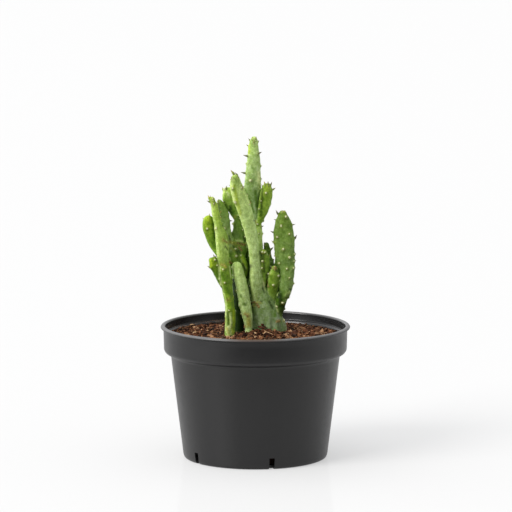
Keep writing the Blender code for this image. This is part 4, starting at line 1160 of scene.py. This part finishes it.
def build_soil(bark):
    draw = random.Random(21)
    build_bed(bark)
    grit = [granule(seed, shape) for seed, shape in enumerate(GRIT_SHAPES, 1)]
    lumps = [lay(draw.choice(grit), on_soil(u, v, *depth), size, tint, draw)
             for u, v, size, tint, *depth in LUMPS_SEEN]
    lumps += scatter(grit, GRIT_COUNT, draw, **GRIT_SPREAD)
    gather(lumps, grit, "soil_grit", bark)
    chips = [splinter(seed, shape) for seed, shape in enumerate(BARK_SHAPES, 5)]
    gather(scatter(chips, BARK_COUNT, draw, **BARK_SPREAD), chips, "soil_bark", bark)
    fibres = join([fibre(draw) for _ in range(FIBRE_COUNT)], "soil_fibres")
    settle(fibres)
    fibres.data.shade_smooth()
    put(fibres, bark, "bark_soil")


# Stems


def blend_between(values, t):
    """Smooth curve through evenly numbered values, each a tuple, at t counted in steps."""
    last = len(values) - 1
    i = min(int(t), last - 1)
    f = t - i
    near = [values[min(max(k, 0), last)] for k in range(i - 1, i + 3)]
    return [b + 0.5 * f * (c - a + f * (2 * a - 5 * b + 4 * c - d + f * (3 * (b - c) + d - a)))
            for a, b, c, d in zip(*near)]


def stations(pad):
    """The pad's stations with their depth and thickness: (x, y, z, width, thickness)."""
    low = pad.line[0][1]
    high = pad.line[-1][1]
    rows = []
    for x, z, width in pad.line:
        share = (z - low) / (high - low)
        y, thick = (base + share * (tip - base) for base, tip in (pad.depth, pad.thick))
        rows.append((x, y, z + PAD_DATUM, width, min(thick, width)))
    return rows


def frame_at(pad, rows, t):
    """Centre, width axis, thickness axis, tangent and half sizes of the pad at t."""
    step = 0.05
    before = Vector(blend_between(rows, max(t - step, 0))[:3])
    after = Vector(blend_between(rows, min(t + step, len(rows) - 1))[:3])
    tangent = (after - before).normalized()
    if pad.foot and t < 1:
        tangent = Vector((0, 0, 1))
    across = Vector((math.cos(pad.turn), math.sin(pad.turn), 0))
    across = (across - tangent * across.dot(tangent)).normalized()
    *centre, width, thick = blend_between(rows, t)
    return Vector(centre), across, tangent.cross(across), tangent, width / 2, thick / 2


def pad_length(rows):
    return sum((Vector(b[:3]) - Vector(a[:3])).length for a, b in zip(rows, rows[1:]))


def pad_steps(rows, spacing):
    count = max(4, round(pad_length(rows) / spacing))
    return [(len(rows) - 1) * i / count for i in range(count + 1)]


def pad_form(pad, name):
    """The pad drawn up in level slices, in its own turned frame, then turned into place."""
    rows = stations(pad)
    back = Matrix.Rotation(-pad.turn, 3, "Z")
    rings = []
    for t in pad_steps(rows, RING_STEP):
        centre, _, _, tangent, wide, deep = frame_at(pad, rows, t)
        place = back @ centre
        lean = back @ tangent
        wide *= math.hypot(1.0, lean.x / lean.z)
        deep *= math.hypot(1.0, lean.y / lean.z)
        rings.append((*place, wide, deep))
    for rise, share in TIP_ROUNDING:
        rings.append((*(place + lean * (rise * deep)), wide * share, deep * share))
    if pad.foot:
        x, y, _, *half_sizes = rings[0]
        rings.insert(0, (x, y, FOOT_DEPTH, *half_sizes))
    return ring_stack(name, PAD_SIDES, rings, pad.turn)


def bare_skin(name, pads):
    """All pads of a stem grown into one skin."""
    skin = join([pad_form(pad, name + "_pad") for pad in pads], name + "_skin")
    modify(skin, "round off", "SUBSURF", levels=1, render_levels=1)
    modify(skin, "grow together", "REMESH", mode="VOXEL", voxel_size=SKIN_VOXEL * MM)
    modify(skin, "ease the joints", "SMOOTH", factor=0.5, iterations=6)
    apply_all(skin)
    return skin


class Survey:
    """Where each point of a skin lies: how far each pad owns it, its share of the length and its side."""

    def __init__(self, points, pads):
        near, shares, sides = [], [], []
        for pad in pads:
            rows = stations(pad)
            frames = [frame_at(pad, rows, t) for t in pad_steps(rows, SURVEY_STEP)]
            centre, across, out, tangent, wide, deep = (np.array(part) for part in zip(*frames))
            nearest = ((points[:, None, :] - centre[None]) ** 2).sum(2).argmin(1)
            offset = points - centre[nearest]
            u = (offset * across[nearest]).sum(1) / wide[nearest]
            v = (offset * out[nearest]).sum(1) / deep[nearest]
            w = (offset * tangent[nearest]).sum(1) / deep[nearest]
            last = len(frames) - 1
            ends = nearest == last
            if not pad.foot:
                ends |= nearest == 0
            near.append(np.sqrt(u ** 2 + v ** 2 + np.where(ends, w, 0) ** 2))
            shares.append(nearest / last)
            sides.append(u)
        near = np.array(near)
        weight = np.exp(-9.0 * (near - near.min(0)))
        self.weight = weight / weight.sum(0)
        self.share = np.array(shares)
        self.side = np.array(sides)

    def mixed(self, values):
        """One value for each point, from those of the pads that own it."""
        return (self.weight * values).sum(0)


def rumple(points, size, seed):
    """Smooth noise at each point, -1 to 1; size is the width of a swelling."""
    shift = Vector((seed * 7.31, seed * 3.17, seed * 5.53))
    return np.array([noise.noise(Vector(point) / size + shift) for point in points])


def distance_to_run(points, first, last):
    """Distance of each point from the straight run between two points."""
    run = last - first
    length = max(float(run @ run), 1e-9)
    share = np.clip(((points - first) @ run) / length, 0, 1)
    return np.linalg.norm(points - (first + share[:, None] * run), axis=1)


def outline_of(skin):
    """The skin's points in millimetres and the corners of its faces."""
    points = [Vector(point) for point in read_points(skin.data) / MM]
    return points, [tuple(face.vertices) for face in skin.data.polygons]


class Skins:
    """The bare skins of all stems, one tree each and one for the whole plant."""

    def __init__(self, skins):
        self.trees = {}
        points, faces = [], []
        for name, skin in skins.items():
            own_points, own_faces = outline_of(skin)
            self.trees[name] = BVHTree.FromPolygons(own_points, own_faces)
            first = len(points)
            points += own_points
            faces += [tuple(first + corner for corner in face) for face in own_faces]
        self.whole = BVHTree.FromPolygons(points, faces)

    def under_pixel(self, u, v):
        """Stem, place and normal seen through a pixel, or the nearest to that line of sight."""
        hits = [(name, *tree.ray_cast(*sight_line(u, v))) for name, tree in self.trees.items()]
        hits = [hit for hit in hits if hit[1] is not None]
        if not hits:
            hits = [(name, *tree.find_nearest(at_depth(u, v, y)))
                    for y in SEARCH_DEPTHS for name, tree in self.trees.items()]
        return min(hits, key=lambda hit: hit[4])[:3]


class Areole:
    """A tuft's place and normal on the bare skin.

    leaf: the run of its leaf, where it has one, and dry: how dry that leaf is
    sight: the line on which the photograph shows it, as a start and a way
    """

    def __init__(self, place, normal, width, leaf=None, dry=0.5, sight=None):
        self.place = Vector(place)
        self.normal = Vector(normal)
        self.width = width
        self.leaf = leaf
        self.dry = dry
        self.sight = sight
        self.middle = 0
        self.rise = 0.0

    def seat(self, tree):
        """Where the tuft sits on the dressed skin, and the way it faces."""
        if self.sight:
            hit, normal, _, _ = tree.ray_cast(*self.sight)
            if hit is not None and (hit - self.place).length < SEAT_REACH:
                return hit, (normal + Vector((0, -SEAT_LEAN, 0))).normalized()
        return self.place + self.normal * self.rise, self.normal


def seen_areoles(skins):
    """Areoles and leaves that the photograph shows, by stem."""
    found = {name: [] for name in STEMS}
    for u, v, width in AREOLES_SEEN:
        name, place, normal = skins.under_pixel(u, v)
        found[name].append(Areole(place, normal, width, sight=sight_line(u, v)))
    for u, v, tip_u, tip_v, dry in LEAVES_SEEN:
        name, place, normal = skins.under_pixel(u, v)
        leaf = at_depth(tip_u, tip_v, place.y) - place + normal * 0.4
        found[name].append(Areole(place, normal, LEAF_WOOL, leaf, dry))
    return found


def seen_marks(skins):
    """Marks that the photograph shows, by stem: kind, first and last place, and radius."""
    found = {name: [] for name in STEMS}
    for kind, runs in MARKS_SEEN.items():
        for u, v, last_u, last_v, radius in runs:
            name, first, _ = skins.under_pixel(u, v)
            last = skins.under_pixel(last_u, last_v)[1]
            found[name].append((kind, first, last, radius))
    return found


def grown_areoles(pads, tree, taken, draw):
    """Areoles up both edges and both faces of every pad, wherever the photograph leaves room for them."""
    found = []
    for pad in pads:
        rows = stations(pad)
        steps = max(2, round(pad_length(rows) / AREOLE_STEP))
        for heading, on_face in ((0.0, 0), (90.0, 1), (180.0, 0), (270.0, 1)):
            for i in range(steps):
                share = (i + 0.45 + 0.45 * on_face + draw.uniform(-0.15, 0.15)) / steps
                zigzag = draw.choice((-24.0, 24.0)) * on_face
                angle = math.radians(heading + zigzag + draw.uniform(-8, 8))
                width = draw.uniform(1.1, 1.8)
                dry = draw.uniform(0.1, 1.0)
                length = draw.uniform(2.0, 3.4)
                if not 0.1 < share < 0.99:
                    continue
                centre, across, out, tangent, wide, deep = frame_at(pad, rows, share * (len(rows) - 1))
                if pad.foot and centre.z < SOIL_LEVEL + AREOLE_START:
                    continue
                guess = centre + across * (math.cos(angle) * wide) + out * (math.sin(angle) * deep)
                place, normal, _, distance = tree.find_nearest(guess)
                crowded = any((place - other.place).length < AREOLE_APART for other in taken + found)
                if distance > AREOLE_OFF or crowded or normal.y < FACES_CAMERA:
                    continue
                leaf = None
                if share > 1 - pad.leafy:
                    leaf = (normal + tangent * draw.uniform(0.3, 0.9)).normalized() * (length + AREOLE_RISE)
                found.append(Areole(place, normal, width, leaf, dry))
    return found


def crowding(points, normals, tree):
    """How far each point is shut in by the skins beside it, 0 to 1. The skin's material darkens it by this
    as painted shade.
    """
    shut = np.zeros(len(points))
    for i, (point, normal) in enumerate(zip(points, normals)):
        normal = Vector(normal)
        start = Vector(point) + normal * 0.6
        side = Vector((-normal.y, normal.x, 0)) * 0.9
        for way in (normal, normal + side, normal - side):
            distance = tree.ray_cast(start, way, CROWDING_REACH)[3]
            if distance is not None:
                shut[i] += (1 - distance / CROWDING_REACH) / 3
    return shut


def raise_areoles(points, areoles, height):
    """Lifts the skin under each areole. Gives the dry ring round them and the shade below them."""
    ring, shaded = np.zeros((2, len(points)))
    for areole in areoles:
        place = np.array(areole.place)
        size = 0.55 * areole.width + 0.7
        distance = np.linalg.norm(points - place, axis=1)
        areole.middle = distance.argmin()
        height += AREOLE_RISE * np.exp(-(distance / size) ** 2) * (0.5 + 0.28 * areole.width)
        ring = np.maximum(ring, np.exp(-((distance - 0.62 * areole.width) / 0.45) ** 2))
        under = place + np.array((0.3, 0.0, -0.6)) * areole.width
        distance = np.linalg.norm(points - under, axis=1)
        shaded = np.maximum(shaded, np.exp(-(distance / (0.5 * areole.width + 0.2)) ** 2))
    return ring, shaded


def dress_skin(name, skin, pads, areoles, marks, every_skin):
    """Raises the areoles and the lumps of the skin and gives it the masks that its material reads."""
    points = read_points(skin.data) / MM
    normals = read_points(skin.data, "normal")
    survey = Survey(points, pads)
    height = np.full(len(points), SKIN_SWELL)
    for rise, size, seed in SWELLINGS:
        height += rise * rumple(points, size, seed)
    ring, shaded = raise_areoles(points, areoles, height)
    if name == "stem_main":
        low = np.clip((SOIL_LEVEL + PLEAT_HEIGHT - points[:, 2]) / PLEAT_FADE, 0, 1)
        heading = np.arctan2(points[:, 1] - TRUNK_CENTRE[1], points[:, 0] - TRUNK_CENTRE[0])
        fold = low * np.cos(PLEAT_COUNT * heading + 2.5 * rumple(points, 14, 3))
        height += PLEAT_RISE * fold
        # painted shade in the valleys of the trunk's folds
        shaded = np.maximum(shaded, 0.5 * np.clip(-fold, 0, 1))
    looks = np.array([(*pad.tone, pad.bloom, pad.young, pad.rim) for pad in pads])
    base_tones, tip_tones, blooms, youngs, rims = looks.T[:, :, None]
    side = np.abs(survey.side)
    ridge = survey.mixed(rims * np.exp(-((side - 0.9) / 0.12) ** 2))
    height += RIM_RISE * ridge * np.clip((points[:, 2] - SOIL_LEVEL) / WOOD_HEIGHT, 0, 1)
    tip = np.clip((survey.share - 0.45) / 0.55, 0, 1)
    masks = {"tone": survey.mixed(base_tones + (tip_tones - base_tones) * survey.share),
             "bloom": survey.mixed(blooms * (1.15 - 0.6 * survey.share)),
             "cork": 0.15 * ring, "tan": 0.35 * ring, "dark": np.zeros(len(points)), "deep": 0.7 * shaded,
             "crowding": crowding(points, normals, every_skin),
             "young": survey.mixed(youngs * tip ** 1.3),
             "pale": survey.mixed(rims * np.clip((side - 0.86) / 0.14, 0, 1))}
    ragged = 1.0 + 0.5 * rumple(points, 1.2, 5)
    for kind, first, last, radius in marks:
        label, strength, rise = MARK_KINDS[kind]
        distance = distance_to_run(points, np.array(first), np.array(last)) * ragged
        spot = np.exp(-(distance / radius) ** 2)
        masks[label] = np.maximum(masks[label], strength * spot)
        height += rise * spot
    wood_top = SOIL_LEVEL + WOOD_HEIGHT + 1.5 * rumple(points, 4, 4)
    woody = np.clip((wood_top - points[:, 2]) / WOOD_FADE, 0, 1)
    masks["cork"] = np.maximum(masks["cork"], 0.6 * woody)
    for areole in areoles:
        areole.rise = float(height[areole.middle])
    set_points(skin.data, (points + normals * height[:, None]) * MM)
    for label, values in masks.items():
        set_mask(skin.data, label, values)
    skin.data.shade_smooth()


def leaf_template():
    """One awl-shaped leaf, 1 mm long, curved and pointed."""
    rings = []
    for k in range(6):
        share = k / 5
        girth = (0.17 + 0.08 * math.sin(math.pi * min(1, share * 1.6))) * (1 - share ** 2.6) + 0.016
        rings.append((0.10 * share ** 2, 0, share, girth, girth * 0.8))
    item = ring_stack("leaf", 7, rings)
    set_mask(item.data, "along", read_points(item.data)[:, 2] / MM)
    item.data.shade_smooth()
    return item


def wool_template(shape, draw):
    """One tuft of wool, about 1 mm across: a felted cushion with short hairs standing out of it."""
    deselect()
    bpy.ops.mesh.primitive_ico_sphere_add(subdivisions=2, radius=0.46 * MM)
    parts = [roughened(shape, offset=0.06 * MM, uniform=0.2, normal=0.3, seed=draw.randrange(99))]
    for _ in range(TUFT_HAIRS):
        deselect()
        bpy.ops.mesh.primitive_cone_add(vertices=3, radius1=0.05 * MM, radius2=0.0, depth=HAIR_LENGTH * MM)
        hair = bpy.context.object
        hair.data.transform(Matrix.Translation((0, 0, HAIR_LENGTH / 2 * MM)))
        out = Vector((draw.uniform(-1, 1), draw.uniform(-1, 1), draw.uniform(0.45, 1.3)))
        hair.rotation_euler = out.to_track_quat("Z", "Y").to_euler()
        hair.location = Vector((out.x * 0.16, out.y * 0.16, 0.02)) * MM
        settle(hair)
        parts.append(hair)
    tuft = join(parts, "wool")
    set_mask(tuft.data, "along", np.clip(read_points(tuft.data)[:, 2] / MM / 0.5, 0, 1))
    tuft.data.shade_smooth()
    return tuft


def turned_to(place, direction, spin, size):
    """The matrix that stands a template of 1 mm on the skin."""
    turn = Vector(direction).to_track_quat("Z", "Y").to_matrix().to_4x4()
    spun = turn @ Matrix.Rotation(spin, 4, "Z")
    return Matrix.Translation(Vector(place) * MM) @ spun @ Matrix.Scale(size, 4)


def dress_areoles(name, skin, areoles, tufts, leaf, wool, leaf_skin, draw):
    """Wool in every areole, and a small leaf where the areole is young."""
    woolly, leaves = [], []
    tree = BVHTree.FromPolygons(*outline_of(skin))
    for areole in areoles:
        seat, facing = areole.seat(tree)
        spin = draw.uniform(0, 6.3)
        woolly.append(copy_of(draw.choice(tufts), turned_to(seat, facing, spin, areole.width)))
        if areole.leaf:
            root = areole.place + areole.normal * (areole.rise - LEAF_SINK)
            way = areole.place + areole.leaf - root
            leaves.append(copy_of(leaf, turned_to(root, way, spin, way.length), dry=areole.dry))
    put(join(woolly, name + "_wool"), wool, STEM_SLOTS[name])
    if leaves:
        put(join(leaves, name + "_leaves"), leaf_skin, STEM_SLOTS[name])


def build_stems():
    group = skin_group()
    wool = wool_material()
    leaf_skin = leaf_material()
    draw = random.Random(8)
    leaf = leaf_template()
    tufts = [wool_template(shape, draw) for shape in TUFT_SHAPES]
    bare = {name: bare_skin(name, pads) for name, pads in STEMS.items()}
    skins = Skins(bare)
    areoles = seen_areoles(skins)
    marks = seen_marks(skins)
    for name, pads in STEMS.items():
        areoles[name] += grown_areoles(pads, skins.trees[name], areoles[name], draw)
        dress_skin(name, bare[name], pads, areoles[name], marks[name], skins.whole)
        put(bare[name], skin_material(name + "_skin", group), STEM_SLOTS[name], name)
        dress_areoles(name, bare[name], areoles[name], tufts, leaf, wool, leaf_skin, draw)
    discard([leaf] + tufts)


set_camera()
set_floor()
set_light()
grain = grain_group()
dust = dust_group()
build_pot(plastic_material(grain, dust))
build_soil(bark_material(dust))
build_stems()
